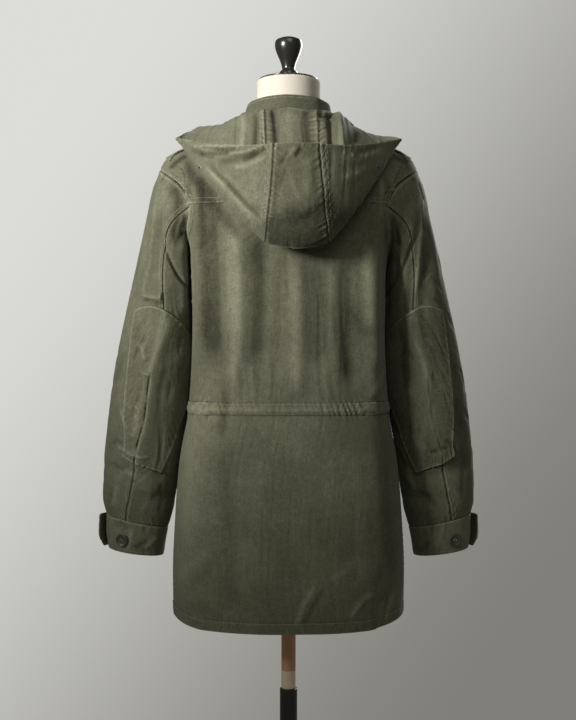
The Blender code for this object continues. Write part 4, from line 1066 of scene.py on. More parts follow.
def cloth(node, skin, thickness=CLOTH, inner_step=4):
    """A closed wall between a skin and the same skin one thickness in, which has larger faces."""
    outer = sided(skin.points, skin.side)
    inner = sided(skin.points - skin.outward * thickness, skin.side)
    rows, columns = outer.shape[:2]
    index, faces = grid_faces(rows, columns, skin.closed)
    n = rows * columns
    rims = [index[0, ::-1], index[-1]]
    if not skin.closed:
        rims += [index[:, 0], index[::-1, -1]]
    walls = [np.stack([rim[:-1], rim[1:], rim[1:] + n, rim[:-1] + n], -1) for rim in rims]
    faces = [np.concatenate([faces, *walls])]
    faces += [f[:, ::-1] + n for f in coarse_faces(rows, columns, skin.closed, inner_step)]
    used = np.unique(np.concatenate([f.ravel() for f in faces]))
    points = np.concatenate([outer.reshape(-1, 3), inner.reshape(-1, 3)])[used]
    faces = [np.searchsorted(used, f) for f in faces]
    piece = add_mesh("cloth_" + node, points, faces, MATERIAL["cotton"])
    # The tone stored on each point is mostly painted light and painted shade of folds, seams, puckers and
    # cast shadows, with edges also worn paler; the cotton's colour follows it.
    wear = np.clip(skin.wear, -WEAR_AND_SHADE_LIMIT, WEAR_AND_SHADE_LIMIT).ravel()
    add_attribute(piece, "wear", "FLOAT", np.concatenate([wear, wear * (inner_step == 1)])[used])
    across = skin.left - skin.left[:, skin.left.shape[1] // 2][:, None]
    weave = np.stack([across, skin.bottom, 0 * across], -1).reshape(-1, 3)
    add_attribute(piece, "weave", "FLOAT_VECTOR", np.concatenate([weave, weave])[used])
    corner = outer[:-1, :-1]
    cells = np.linalg.norm(np.cross(outer[1:, :-1] - corner, outer[:-1, 1:] - corner), axis=-1)
    size = skin.left[:, -1].max(), skin.bottom[-1].max(), cells.sum()
    SHEETS.append((piece, *map(float, size)))
    return fasten(piece, "olive_cotton", node)


STITCH_PITCH, STITCH = 0.0034, (0.0026, 0.0007, 0.00035)  # from one stitch to the next, and its size
STITCH_CORNERS = np.array([(x, y, 0) for x, y in ((-1, -1), (1, -1), (1, 1), (-1, 1))]
                          + [(x, y, 1) for x, y in ((-0.6, -0.6), (0.6, -0.6), (0.6, 0.6), (-0.6, 0.6))])
STITCH_FACES = np.array([(0, 1, 5, 4), (1, 2, 6, 5), (2, 3, 7, 6), (3, 0, 4, 7), (4, 5, 6, 7),
                         (3, 2, 1, 0)])


def sew(name, lines, side=RIGHT):
    """A row of small raised stitches along each line of points and outward ways, as one piece."""
    bits = []
    for points, facing in lines:
        steps = np.concatenate([[0], np.cumsum(np.linalg.norm(np.diff(points, axis=0), axis=1))])
        at = np.arange(STITCH_PITCH / 2, steps[-1], STITCH_PITCH)
        if len(at) < 2:
            continue
        place, ahead, behind, up = (
            np.stack([np.interp(at + shift, steps, column) for column in rows.T], -1)
            for rows, shift in ((points, 0), (points, 0.0005), (points, -0.0005), (facing, 0))
        )
        up, run = unit(up), unit(ahead - behind)
        shape = STITCH_CORNERS * (STITCH[0] / 2, STITCH[1] / 2, STITCH[2])
        ways = np.stack([run, np.cross(up, run), up], 1)
        bits.append((place - up * 0.00005)[:, None] + np.einsum("ck,nkx->ncx", shape, ways))
    corners = np.concatenate(bits)
    faces = (STITCH_FACES[None] + 8 * np.arange(len(corners))[:, None, None]).reshape(-1, 4)
    piece = add_mesh(name, sided(corners.reshape(-1, 3), side), [faces], MATERIAL["thread"])
    return fasten(piece, "olive_cotton")


def shares(count, length, marks=(0.0, 1.0)):
    """Numbers from 0 to 1: even ones, and closer ones beside each mark, for an edge or a seam.

    They run along about this length in metres, which sets how far from a mark the closer ones are.
    """
    fine = np.array([0.0, 0.0006, 0.0014, 0.0026, 0.0045]) / length
    close = np.unique(np.clip(np.concatenate([[m - fine, m + fine] for m in marks]).ravel(), 0, 1))
    plain_ones = [v for v in np.linspace(0, 1, count + 1) if np.abs(close - v).min() > 0.0015 / length]
    return np.unique(np.concatenate([close, plain_ones]))


def heights(low, high, count, *seams):
    """Heights from low to high, closer together beside both ends and beside each seam."""
    marks = [(z - low) / (high - low) for z in (low, *seams, high)]
    return low + (high - low) * shares(count, high - low, marks)


def spread(low, high, share):
    """Rows of values that run from low to high, which are columns or numbers."""
    low, high = np.asarray(low, float), np.asarray(high, float)
    return low[:, None] + (high - low)[:, None] * share[None, :]


# ---------------------------------------------------------------- the back, the yoke and the fronts
# Rows and columns of each piece's points, besides the closer ones beside its edges and seams.
BACK_GRID, YOKE_ROWS, FRONT_GRID, PLACKET_GRID = (225, 120), 80, (190, 72), (190, 26)
POCKET_GRID, FLAP_ROWS, STRAP_GRID, COLLAR_GRID = (40, 40), 16, (44, 24), (16, 150)
HOOD_ROWS, SIDE_COLUMNS, GUSSET_COLUMNS = 196, 98, 56
SLEEVE_GRID, PATCH_GRID, CUFF_GRID, TAB_GRID = (265, 80), (165, 76), (20, 144), (16, 30)
ALL_ROUND = ("left", "right", "top", "bottom")
BODY_REACH = 0.10  # the body's rough radius, which turns a seam's gap into an angle
HEM_DEPTH, HEM_STITCH = 0.0165, 0.0155
TWIN_STITCHES = (0.0020, 0.0080)  # insets of the two rows along a lapped seam
CASING_HALF, CASING_STITCH = 0.0085, 0.0078
LOW_SEAMS = (HEM_Z + HEM_DEPTH, WAIST_Z - CASING_HALF, WAIST_Z + CASING_HALF)


def body_skin(angle, z, lift=0.0):
    """The body's skin, or one that lies on it; the hem rises to each side and drops at the back."""
    angle, z = np.broadcast_arrays(angle, z)
    outward = body_normals(angle, z)
    points = body(angle, z) + outward * (lift + CLOTH if lift else 0.0)
    aside = np.clip((np.abs(points[..., 0]) - 0.13) / 0.05, 0, 1)
    behind = np.clip(-points[..., 1] / 0.05, 0, 1)
    raised = HEM_SIDE_RISE * aside - HEM_BACK_DROP * behind * (1 - aside)
    points[..., 2] += raised * bell((z - HEM_Z) / 0.08)
    return Skin(points, outward)


def back_angles(z):
    """Angles of the back's columns at each height: even in x over the middle, then to each side."""
    edge = side_limit(z, -1) - SEAM / 2 / BODY_REACH
    reach = np.minimum(BACK_MIDDLE, 0.7 * BODY_CURVE["half_width"](z))
    x = reach[:, None] * np.linspace(-1, 1, BACK_GRID[1] + 1)[None, :]
    middle = body_angle(x, z[:, None], -1)
    side = spread(body_angle(reach, z, -1), edge, shares(24, 0.08, (1.0,)))[:, 1:]
    return np.concatenate([-math.pi - side[:, ::-1], middle, side], axis=1)


def waist_puckers(skin):
    """The waist casing: gathers, most of all where its cord is tight, and the cord; painted light on the
    gathers' crests, the casing and the cord, painted shade in the gathers' hollows, and two lines of
    painted shadow along its edges.
    """
    x, y = skin.points[..., 0], skin.points[..., 1]
    around, off = np.arctan2(y, x) * 0.15, skin.points[..., 2] - WAIST_Z
    bunched = 0.30 + sum(more * bell((x - at) / half_width) for at, half_width, more in WAIST_GATHERS)
    wavy = ripple(around + 0.35 * off, 0.0085, 11) + 0.6 * ripple(around - 0.5 * off, 0.0042, 12)
    wavy = wavy * bunched * bell(off / 0.016)
    skin.rise += 0.0012 * wavy + 0.0010 * bell((off + 0.0015) / 0.0035)
    # painted light and shade on the gathers, and painted light on the casing and its cord
    skin.wear += 0.65 * wavy + 0.55 * span(off, -CASING_HALF, CASING_HALF, 0.002) * bunched
    skin.wear += 0.45 * bell((off + 0.0010) / 0.0022)
    # two lines of painted shadow along the casing's edges, the lower one darker
    for level, dark in ((-CASING_HALF, 0.9), (CASING_HALF, 0.5)):
        skin.rise -= 0.0005 * bell((off - level) / 0.0011)
        skin.wear -= dark * bell((off - level * 1.08) / 0.0012)
    return skin


def casing_lines(skin, z):
    """The casing's two rows of stitches."""
    rows = [int(np.abs(z - WAIST_Z - level).argmin()) for level in (-CASING_STITCH, CASING_STITCH)]
    return [(skin.points[row], skin.facing[row]) for row in rows]


def back_skin(z):
    """The back hangs flatter than an oval, with a crest near each side, and carries the folds."""
    skin = body_skin(back_angles(z), z[:, None])
    x, level = skin.points[..., 0], skin.points[..., 2]
    turned = np.clip((-skin.outward[..., 1] - 0.35) / 0.35, 0, 1)
    high = span(level, 1.02, 1.30, 0.03) + 0.45 * span(level, 0.66, 1.02, 0.03)
    skin.rise += SIDE_CREST * bell((np.abs(x) - SIDE_CREST_X) / 0.024) * turned * high
    # painted light over the left of the back below the waist and painted shade over its right, as the
    # light falls from the left
    skin.wear -= 0.30 * span(level, 0.5, WAIST_Z, 0.02) * x / 0.15
    skin.follow(BACK_FOLDS, BACK_SHADES, BACK_LAPS, BACK_PUCKERS)
    skin.rise = np.maximum(skin.rise, -np.interp(level, DEPTH_LEVELS, DEPTH_LIMITS))
    return waist_puckers(skin)


def make_back():
    """The back below the yoke seam, and the yoke above it, which laps over the back."""
    z = heights(HEM_Z, ARMHOLE_MID_Z - SEAM / 2, BACK_GRID[0], *LOW_SEAMS)
    skin = back_skin(z).drape(0.40, 0.020, 0.30, 101)
    skin.edge("hem", "bottom").edge("under", "top").edge("lap", "left", "right", seed=8).settle()
    cloth("back_panel", skin)
    lines = casing_lines(skin, z) + [skin.line("bottom", HEM_STITCH)]
    lines += skin.lines(("left", "right"), TWIN_STITCHES, start=(z > WAIST_Z).argmax() / len(z))

    z = heights(ARMHOLE_MID_Z + SEAM / 2, NECKLINE_Z, YOKE_ROWS)
    skin = back_skin(z).drape(0.40, 0.022, 0.14, 102)
    skin.edge("fell", "bottom").edge("seam", "top")
    skin.edge("lap", "left", "right", seed=12, gather=2.0).settle()
    cloth("back_yoke", skin)
    lines += skin.lines(("bottom",), (0.0016, 0.0082))
    lines += skin.lines(("left", "right"), TWIN_STITCHES, end=0.7)
    sew("stitching_back", lines)


def front_angles(z, inner_x, low_share, share):
    """Angles across the right front, from a share of its width out to its column at inner_x."""
    edge = side_limit(z, 1) + SEAM / 2 / BODY_REACH
    inner = body_angle(np.full_like(z, inner_x), z, 1)
    return spread(edge + (inner - edge) * low_share, inner, share)


def make_pocket(node, side, low, high, outer_share, is_flap):
    """A patch pocket on a front, or its flap, which lies on top of it and lifts at its lower edge."""
    rows = heights(low, high, FLAP_ROWS if is_flap else POCKET_GRID[0])
    lift = 2 * LAID + CLOTH if is_flap else LAID
    angle = front_angles(rows, POCKET_INNER_X, outer_share, shares(POCKET_GRID[1], 0.11))
    skin = body_skin(angle, rows[:, None], lift)
    skin.side, seed = side, len(node)
    skin.drape(0.4, 0.030, 0.06, seed).edge("plain", *ALL_ROUND, seed=seed)
    if is_flap:
        skin.rise += 0.0012 * bell(skin.bottom / 0.020) * (1 + 0.6 * ripple(skin.left, 0.07, seed))
    skin.settle()
    cloth(node, skin)
    second = () if is_flap else skin.lines(("left", "right", "bottom"), (0.0085,))
    return [*skin.lines(ALL_ROUND, (0.0022,)), *second]


def make_fronts():
    """Two fronts with patch pockets and flaps, the fly strip over their edges, and its buttons."""
    z = heights(HEM_Z, NECKLINE_Z, FRONT_GRID[0], *LOW_SEAMS)
    angle = front_angles(z, SEAM / 2, 0.0, shares(FRONT_GRID[1], 0.24))
    for label, side in SIDES:
        skin = waist_puckers(body_skin(angle, z[:, None]))
        skin.side = side
        skin.drape(0.9, 0.030, 0.20, 103 + side)
        skin.edge("hem", "bottom").edge("seam", "top", "left").edge("plain", "right").settle()
        cloth(f"front_{label}", skin)
        lines = [skin.line("bottom", HEM_STITCH), skin.line("left", TWIN_STITCHES[0])]
        lines += casing_lines(skin, z)
        for name, low, high, flap_low, flap_high, outer_share in POCKETS:
            lines += make_pocket(f"{name}_{label}", side, low, high, outer_share, False)
            lines += make_pocket(f"{name}_flap_{label}", side, flap_low, flap_high, outer_share, True)
        sew(f"stitching_front_{label}", lines, side)

    z = heights(HEM_Z, PLACKET_TOP_Z, PLACKET_GRID[0])
    right = body_angle(np.full_like(z, PLACKET_HALF), z, 1)
    angle = spread(right, math.pi - right, shares(PLACKET_GRID[1], 2 * PLACKET_HALF))
    skin = body_skin(angle, z[:, None], LAID)
    wavy = ripple(skin.bottom + 0.1 * skin.left, 0.05, 21)
    skin.rise += 0.0004 * wavy * bell((skin.left - PLACKET_HALF) / 0.02)
    skin.edge("plain", *ALL_ROUND).settle()
    cloth("front_placket", skin)
    sew("stitching_placket", [*skin.lines(("left", "right", "top"), (0.002,)), skin.line("left", 0.014),
                              skin.line("bottom", HEM_STITCH)])
    for number, height in enumerate(FRONT_BUTTON_Z, 1):
        at = np.array(math.pi / 2), np.array(height)
        facing = body_normals(*at)
        make_button(f"front_button_{number}", body(*at) + facing * (2 * LAID + CLOTH), facing)


def epaulette_places(across, along):
    """x and y of a strap's points: across from its back edge (-1), along from its sewn end (0)."""
    base = EPAULETTE_BASE_X - EPAULETTE_SKEW * np.clip(-across, 0, 1) ** 2
    tip = EPAULETTE_TIP_X + EPAULETTE_POINT * np.abs(across)
    x = base[None, :] + (tip - base)[None, :] * along[:, None]
    middle = EPAULETTE_BASE_Y + (EPAULETTE_TIP_Y - EPAULETTE_BASE_Y) * along[:, None]
    return x, middle + EPAULETTE_HALF * across[None, :] + 0 * x


def make_epaulettes():
    """A strap on each shoulder, from the armhole seam to a buttoned point beside the neck."""
    along, across = shares(STRAP_GRID[0], 0.09), shares(STRAP_GRID[1], 2 * EPAULETTE_HALF) * 2 - 1
    for label, side in SIDES:
        x, y = epaulette_places(across, along)
        z, offset = shoulder_ring(x, y)
        skin = body_skin(np.arctan2(offset, side * x), z, EPAULETTE_LIFT)
        skin.rise += 0.0016 * bell((along[:, None] - 0.55) / 0.3) * (1 - across[None, :] ** 2)
        wavy = 1 + 0.5 * ripple(skin.bottom, 0.03, 17)
        skin.rise += 0.0010 * bell((across[None, :] + 1) / 0.25) * wavy
        skin.edge("plain", "left", "right", "top").settle()
        cloth(f"epaulette_{label}", skin)
        sew(f"stitching_epaulette_{label}", skin.lines(("left", "right", "top"), (0.0018, 0.0075)))
        x, y = epaulette_places(np.zeros(1), np.array([EPAULETTE_BUTTON]))
        z, offset = shoulder_ring(x[0, 0], y[0, 0])
        angle = np.arctan2(offset, side * x[0, 0])
        facing = body_normals(angle, z)
        seat = body(angle, z) + facing * (LAID + EPAULETTE_LIFT + CLOTH + 0.0003)
        make_button(f"epaulette_button_{label}", seat, facing, SMALL_BUTTON_RADIUS)


def make_collar():
    """The stand collar, open at the centre front."""
    z = heights(COLLAR[0][0], COLLAR[-1][0], COLLAR_GRID[0])
    start, end = math.pi / 2 + COLLAR_GAP, math.pi * 2.5 - COLLAR_GAP
    angle = start + (end - start) * shares(COLLAR_GRID[1], 0.42)[None, :] + 0 * z[:, None]
    level = z[:, None] + 0 * angle
    skin = Skin(collar(angle, level), normals(collar, angle, level, 0.01, 0.001))
    wavy = ripple(skin.left + 0.4 * skin.bottom, 0.045, 31)
    skin.rise += 0.0006 * wavy * np.clip(skin.bottom / 0.02, 0, 1)
    skin.edge("plain", "top", "left", "right").edge("seam", "bottom").settle()
    # painted shade: the whole collar darker
    skin.wear += COLLAR_SHADE
    cloth("collar", skin, inner_step=1)
    sew("stitching_collar", [skin.line("top", 0.0045), skin.line("bottom", 0.0030)])


# ---------------------------------------------------------------- the hood
def hood_skin(start, end, columns, rows):
    """A strip of the hood, with the folds that show from outside it and, by the neck, from inside."""
    across = (start + (end - start) * shares(columns, HOOD_REACH))[None, :] + 0 * rows[:, None]
    along = rows[:, None] + 0 * across
    skin = Skin(hood(across, along), normals(hood, across, along, 0.02, 0.004))
    outside = skin.behind * span(along, 0.55, 1.5, 0.05)
    skin.follow(POUCH_FOLDS, POUCH_SHADES, POUCH_LAPS, POUCH_PUCKERS, mask=outside, soft=3.0)
    near_neck = span(along, -1, 0.50, 0.05)
    before = skin.rise.copy()
    skin.follow(NECK_FOLDS, mask=near_neck)
    turned = (near_neck > 0) & (skin.outward[..., 1] > 0)
    skin.rise = before + (skin.rise - before) * np.where(turned, -1, 1)
    return skin


HOOD_REACH = 0.16  # a side's rough width, which turns a seam's gap into a share of it
HOOD_GAP = SEAM / 2 / HOOD_REACH
HOOD_STRIPS = (  # name, where it starts and ends, columns, its edges at the seams, its free edge
    ("hood_left", -1.0, -GUSSET_SHARE - HOOD_GAP, SIDE_COLUMNS, ("right",), "left"),
    ("hood_centre", -GUSSET_SHARE + HOOD_GAP, GUSSET_SHARE - HOOD_GAP, GUSSET_COLUMNS,
     ("left", "right"), None),
    ("hood_right", GUSSET_SHARE + HOOD_GAP, 1.0, SIDE_COLUMNS, ("left",), "right"),
)


def make_hood():
    """The hood's middle gusset and its two sides, cut from one surface along the gusset's seams."""
    rows = shares(HOOD_ROWS, 0.55)
    lining_lines = []
    for name, start, end, columns, seams, free in HOOD_STRIPS:
        skin = hood_skin(start, end, columns, rows)
        skin.drape(0.7, 0.026, 0.10, 104 + columns).edge("seam", *seams, seed=90, gather=2.4)
        skin.edge("plain", "top", "bottom")
        if free:
            skin.edge("hem", free)
        else:
            # painted shade: the whole gusset darker than the hood's sides
            skin.wear += GUSSET_SHADE
        skin.settle()
        cloth(name, skin, inner_step=1)
        if free:
            away = np.linalg.norm(skin.picture - EYELETS[free], axis=-1)
            away += 100 * (skin.outward[..., 1] > 0)
            make_eyelets(f"eyelets_{free}", skin, np.unravel_index(away.argmin(), away.shape))
            insets = (0.0022, 0.0090)
            sew("stitching_" + name, [*skin.lines(seams, insets), skin.line(free, HEM_STITCH)])
            inner = Skin(skin.points - skin.outward * CLOTH, -skin.outward).settle()
            lining_lines += inner.lines(seams, insets, end=0.5)
    sew("stitching_hood_lining_side", lining_lines)


def make_eyelets(name, skin, first):
    """Two small sewn eyelets for the hood's cord, one below the other beside its hem, each with a disc
    painted near black as the shadow of its hole.
    """
    row, column = first
    shape = bmesh.new()
    for shift in (0, EYELET_STEP):
        at = int(np.abs(skin.bottom[:, column] - skin.bottom[row, column] + shift).argmin())
        ring = finished(turned_mesh("ring", EYELET, 20), 40)
        ring.transform(seated(skin.points[at, column], skin.facing[at, column]))
        shape.from_mesh(ring)
    mesh = to_mesh(shape, name)
    mesh.materials.append(MATERIAL["thread"])
    mesh.materials.append(MATERIAL["hole"])
    for face in mesh.polygons:
        face.material_index = int(face.area < EYELET_HOLE_FACE)
    fasten(add_object(name, mesh), "olive_cotton")


# ---------------------------------------------------------------- the sleeves
SLEEVE_TUCK = (0.007, 0.0045, 0.002, 0.0, -0.0016)  # how far inside the armhole's edge each row is
SLEEVE_TUCK_DEPTH = CLOTH + 0.0005  # how far below the body's outer surface they lie


def seam_allowance(turn):
    """Rows of points from under the body's armhole edge out to it, where a sleeve is sewn in."""
    points, outward = [], []
    for inset in SLEEVE_TUCK:
        angle, z = armhole(turn)
        z = z + inset * np.cos(turn)
        angle = angle - np.sign(np.sin(turn)) * inset / 0.15 * np.abs(np.sin(turn))
        ways = body_normals(angle, z)
        points.append(body(angle, z) - ways * SLEEVE_TUCK_DEPTH)
        outward.append(ways)
    return np.array(points), np.array(outward)


def sleeve_skin(turn, along, side, lift=0.0, tucked=False):
    """A skin with a sleeve's folds: the sleeve, tucked in under the armhole, or what lies on it."""
    along = np.broadcast_to(along, turn.shape)
    outward = sleeve_out(turn, along)
    points = sleeve(turn, along) + outward * (lift + CLOTH if lift else 0.0)
    if tucked:
        under, ways = seam_allowance(turn[0])
        points, outward = np.concatenate([under, points]), np.concatenate([ways, outward])
    skin = Skin(points, outward, side=side)
    skin.follow(SLEEVE_FOLDS[side], SLEEVE_SHADES[side], SLEEVE_LAPS[side], SLEEVE_PUCKERS[side])
    z = points[..., 2]
    # Painted shade: the right sleeve darker all over and most of all over its middle length, and the left
    # sleeve darker along its outer side, where less light falls.
    if side == RIGHT:
        skin.wear -= 0.10 + 0.45 * span(z, 0.86, 1.14, 0.05)
    else:
        skin.wear -= 0.40 * np.clip((outward[..., 0] - 0.5) / 0.4, 0, 1)
    inward = np.clip(-outward[..., 0], 0, 1) ** 2
    skin.rise += inward * (0.0030 * bell((z - 1.172) / 0.030) + 0.0010 * span(z, 0.88, 1.15, 0.03))
    return skin


SLEEVE_REACH = 0.055  # a sleeve's rough radius, which turns a seam's gap into an angle
SLEEVE_SEED = {LEFT: 6, RIGHT: 8}
SLEEVE_FIRST = 0.006  # share of the sleeve at which its own surface takes over from the tuck


def make_sleeves():
    """Each sleeve's upper and under pieces, joined at a hind seam and a fore seam."""
    gap = SEAM / 2 / SLEEVE_REACH
    rows = SLEEVE_FIRST + (1 - SLEEVE_FIRST) * shares(SLEEVE_GRID[0], 0.62)
    hind, fore = (np.radians(SEAM_CURVE[name](rows)) for name in ("hind_seam", "fore_seam"))
    halves = (("upper", fore + gap, hind - gap), ("under", hind + gap, fore + 2 * math.pi - gap))
    for label, side in SIDES:
        for name, low, high in halves:
            turn = spread(low, high, shares(SLEEVE_GRID[1], 0.17))
            skin = sleeve_skin(turn, rows[:, None], side, tucked=True)
            skin.drape(0.9, 0.026, 0.09, SLEEVE_SEED[side], slant=0.35)
            skin.edge("seam", "left", "right", seed=45).edge("under", "top")
            skin.edge("ditch", "bottom", seed=60, gather=2.0).settle()
            cloth(f"sleeve_{name}_{label}", skin)
            if name == "upper":
                lines = skin.lines(("left", "right"), (0.0020, 0.0075), start=0.03)
        sew(f"stitching_sleeve_{label}", lines, side)


PATCH_SLANT, PATCH_CORNER_DROP = 0.018, 0.055  # shares of the sleeve's length
PATCH_RIDGE, PATCH_GROOVE = 0.0026, 0.0022  # beside a patch's middle seam, and along it
PATCH_RIDGE_SHARE = {LEFT: 1.0, RIGHT: 0.6}  # how much of these each patch has


def make_elbow_patches():
    """A long patch over each elbow, with a round top, a slanting lower edge and a middle seam."""
    across = shares(PATCH_GRID[1], 0.09, (0.0, 0.5, 1.0))
    low_edge = PATCH_END + PATCH_SLANT * (2 * across - 1)
    high_edge = PATCH_START + PATCH_CORNER_DROP * np.abs(2 * across - 1) ** 2.4
    down = shares(PATCH_GRID[0], 0.29)[:, None]
    along = high_edge[None, :] + (low_edge - high_edge)[None, :] * down
    at = values(SEAM_CURVE, along)
    outer, hind, inner = (np.radians(at[name]) for name in ("patch_outer", "hind_seam", "patch_inner"))
    share = across[None, :] * 2 + 0 * along
    turn = np.where(share < 1, outer + (hind - outer) * share, hind + (inner - hind) * (share - 1))
    from_top = np.clip((along - PATCH_START) / PATCH_ROUND, 0, 1)
    width = PATCH_TOP_SHARE + (1 - PATCH_TOP_SHARE) * np.sqrt(1 - (1 - from_top) ** 2)
    turn = hind + (turn - hind) * width
    low = span(along, 0.5 * (PATCH_START + PATCH_END), 2.0, 0.03)
    for label, side in SIDES:
        skin = sleeve_skin(turn, along, side, lift=5 * LAID)
        d = skin.left - skin.left[:, np.abs(across - 0.5).argmin()][:, None]
        deep = PATCH_RIDGE_SHARE[side]
        broken = low * (0.8 + 0.5 * ripple(skin.bottom, 0.03, 77))
        ridge = PATCH_RIDGE * np.exp(-np.abs(d) / np.where(d > 0, 0.013, 0.020))
        skin.rise += deep * (ridge - PATCH_GROOVE * broken * bell(d / 0.0016))
        # painted light beside the middle seam's ridge, painted shade beyond it, and a painted shadow in
        # the seam's groove
        skin.wear += deep * (0.9 * bell((d - 0.0016) / 0.0034) - 0.55 * bell((d - 0.017) / 0.011))
        skin.wear -= deep * 2.0 * broken * bell((d + 0.0004) / 0.0010)
        skin.drape(0.9, 0.024, 0.08, 71 + side, slant=0.3)
        skin.edge("patch", *ALL_ROUND, seed=70, gather=0.8).settle()
        cloth(f"elbow_patch_{label}", skin)
        sew(f"stitching_patch_{label}", skin.lines(ALL_ROUND, (0.0018,)), side)


def make_cuffs():
    """Each cuff band, its pointed tab that stands away at the outer side, and its button."""
    down = shares(CUFF_GRID[0], 0.05)
    turn = np.linspace(0, 2 * math.pi, CUFF_GRID[1] + 1)[None, :-1] + 0 * down[:, None]
    level = down[:, None] + 0 * turn
    length = shares(TAB_GRID[1], 0.06)
    height = TAB_LEVELS[0] + (TAB_LEVELS[-1] - TAB_LEVELS[0]) * shares(TAB_GRID[0], 0.04)
    share = np.interp(height, TAB_LEVELS, TAB_REACHES)[:, None] * length[None, :]
    tab_turn = TAB_START + (TAB_END - TAB_START) * share
    tab_level = height[:, None] + 0 * share
    for label, side in SIDES:
        skin = Skin(cuff(turn, level), cuff_out(turn, level), closed=True, side=side)
        skin.rise += 0.0010 * ripple(turn, 1.3, 80 + side) * bell((level - 0.55) / 0.35)
        # the cuffs are paler all over
        skin.wear += CUFF_TONE
        skin.follow(CUFF_FOLDS[side]).edge("plain", "top", "bottom").settle()
        cloth(f"cuff_{label}", skin, thickness=CUFF_WALL)
        sew(f"stitching_cuff_{label}", [skin.line("bottom", 0.0022), skin.line("top", 0.0045)], side)
        seat = np.array(CUFF_BUTTON_TURN), np.array(CUFF_BUTTON_DOWN)
        facing = sided(cuff_out(*seat), side)
        make_button(f"cuff_button_{label}", sided(cuff(*seat), side) + facing * 0.0012, facing)
        outward = cuff_out(tab_turn, tab_level)
        flare = 2 * LAID + TAB_FLARE * share**2.2 + CLOTH
        skin = Skin(cuff(tab_turn, tab_level) + outward * flare[..., None], outward, side=side)
        skin.edge("plain", "right", "top", "bottom").settle()
        cloth(f"cuff_tab_{label}", skin)
        sew(f"stitching_tab_{label}", skin.lines(("right", "top", "bottom"), (0.0030,)), side)


# ---------------------------------------------------------------- buttons, the form and the stand
def seated(seat, facing):
    """The placement of something that stands on a seat and faces a way."""
    return Matrix.Translation(Vector(seat)) @ Vector(facing).to_track_quat("Z", "Y").to_matrix().to_4x4()


def turned_mesh(name, outline, steps):
    """A turned mesh from (radius, height) points, from the top down."""
    angle = np.arange(steps) * 2 * math.pi / steps
    ring = np.stack([np.cos(angle), np.sin(angle), 0 * angle], -1)
    shape = bmesh.new()
    loops = []
    for radius, height in outline:
        points = ring * radius if radius > 1e-6 else np.zeros((1, 3))
        loops.append([shape.verts.new(p + (0, 0, height)) for p in points])
    for upper, lower in zip(loops, loops[1:]):
        for i in range(steps):
            n = (i + 1) % steps
            corners = [upper[i % len(upper)], lower[i % len(lower)]]
            corners += [lower[n % len(lower)], upper[n % len(upper)]]
            shape.faces.new(list(dict.fromkeys(corners)))
    bmesh.ops.recalc_face_normals(shape, faces=shape.faces)
    return to_mesh(shape, name)


def lathe(name, outline, material, steps=96):
    """A turned piece."""
    return add_object(name, finished(turned_mesh(name, outline, steps), 40, material))


def rounded(points, radius=0.001, steps=5):
    """An outline with its inner corners rounded by short arcs."""
    points = np.array(points, float)
    made = [points[0]]
    for before, corner, after in zip(points, points[1:], points[2:]):
        a, b = before - corner, after - corner
        r = min(radius, 0.45 * np.linalg.norm(a), 0.45 * np.linalg.norm(b))
        start, end = corner + unit(a) * r, corner + unit(b) * r
        for t in np.linspace(0, 1, steps):
            made.append((1 - t) ** 2 * start + 2 * t * (1 - t) * corner + t * t * end)
    made.append(points[-1])
    return made


# A button of unit radius: its outline, and where its holes are and how wide.
BUTTON_OUTLINE = ((0, 0.150), (0.60, 0.150), (0.72, 0.215), (0.86, 0.300), (0.97, 0.24), (1.0, 0.14),
                  (0.93, 0.0), (0, 0.0))
HOLE_PLACE, HOLE_RADIUS = 0.17, 0.085


def button_mesh():
    """A round button with a rim, a dished middle and four real holes."""
    disc = lathe("button", rounded(BUTTON_OUTLINE, 0.08), MATERIAL["button"], 48)
    cutters = []
    for x in (-HOLE_PLACE, HOLE_PLACE):
        for y in (-HOLE_PLACE, HOLE_PLACE):
            bar = ((0, 0.5), (HOLE_RADIUS, 0.5), (HOLE_RADIUS, -0.5), (0, -0.5))
            cutter = lathe("hole", bar, MATERIAL["button"], 16)
            cutter.location = (x, y, 0)
            cutters.append(cutter)
            cut = disc.modifiers.new("hole", "BOOLEAN")
            cut.object, cut.operation = cutter, "DIFFERENCE"
    bpy.context.view_layer.update()
    made = bpy.data.meshes.new_from_object(disc.evaluated_get(bpy.context.evaluated_depsgraph_get()))
    for used in [disc, *cutters]:
        bpy.data.objects.remove(used)
    made.name = "button_with_holes"
    return made


def make_button(node, seat, facing, radius=BUTTON_RADIUS):
    """A button and the two bars of its thread, turned by an angle that depends on its name."""
    spin = Matrix.Rotation(0.35 * (len(node) + ord(node[-1])), 4, "Z")
    place = seated(seat, facing) @ spin @ Matrix.Scale(radius, 4)
    piece = add_object("detail_" + node, BUTTON_MESH.copy())
    piece.data.transform(place)
    fasten(piece, "dark_button", node)
    shape = bmesh.new()
    for x in (-HOLE_PLACE, HOLE_PLACE):
        bar = bmesh.ops.create_cube(shape, size=1.0)["verts"]
        bmesh.ops.scale(shape, vec=(0.10, 0.44, 0.10), verts=bar)
        bmesh.ops.translate(shape, vec=(x, 0, 0.175), verts=bar)
    bmesh.ops.bevel(shape, geom=shape.edges[:], offset=0.03, segments=2, affect="EDGES")
    mesh = to_mesh(shape, "thread_" + node)
    mesh.transform(place)
    fasten(add_object("thread_" + node, finished(mesh, None, MATERIAL["thread"])), "olive_cotton")


SHOULDER_START_Z, NECK_START_Z, NECK_BEVEL = 1.337, 1.404, 0.002


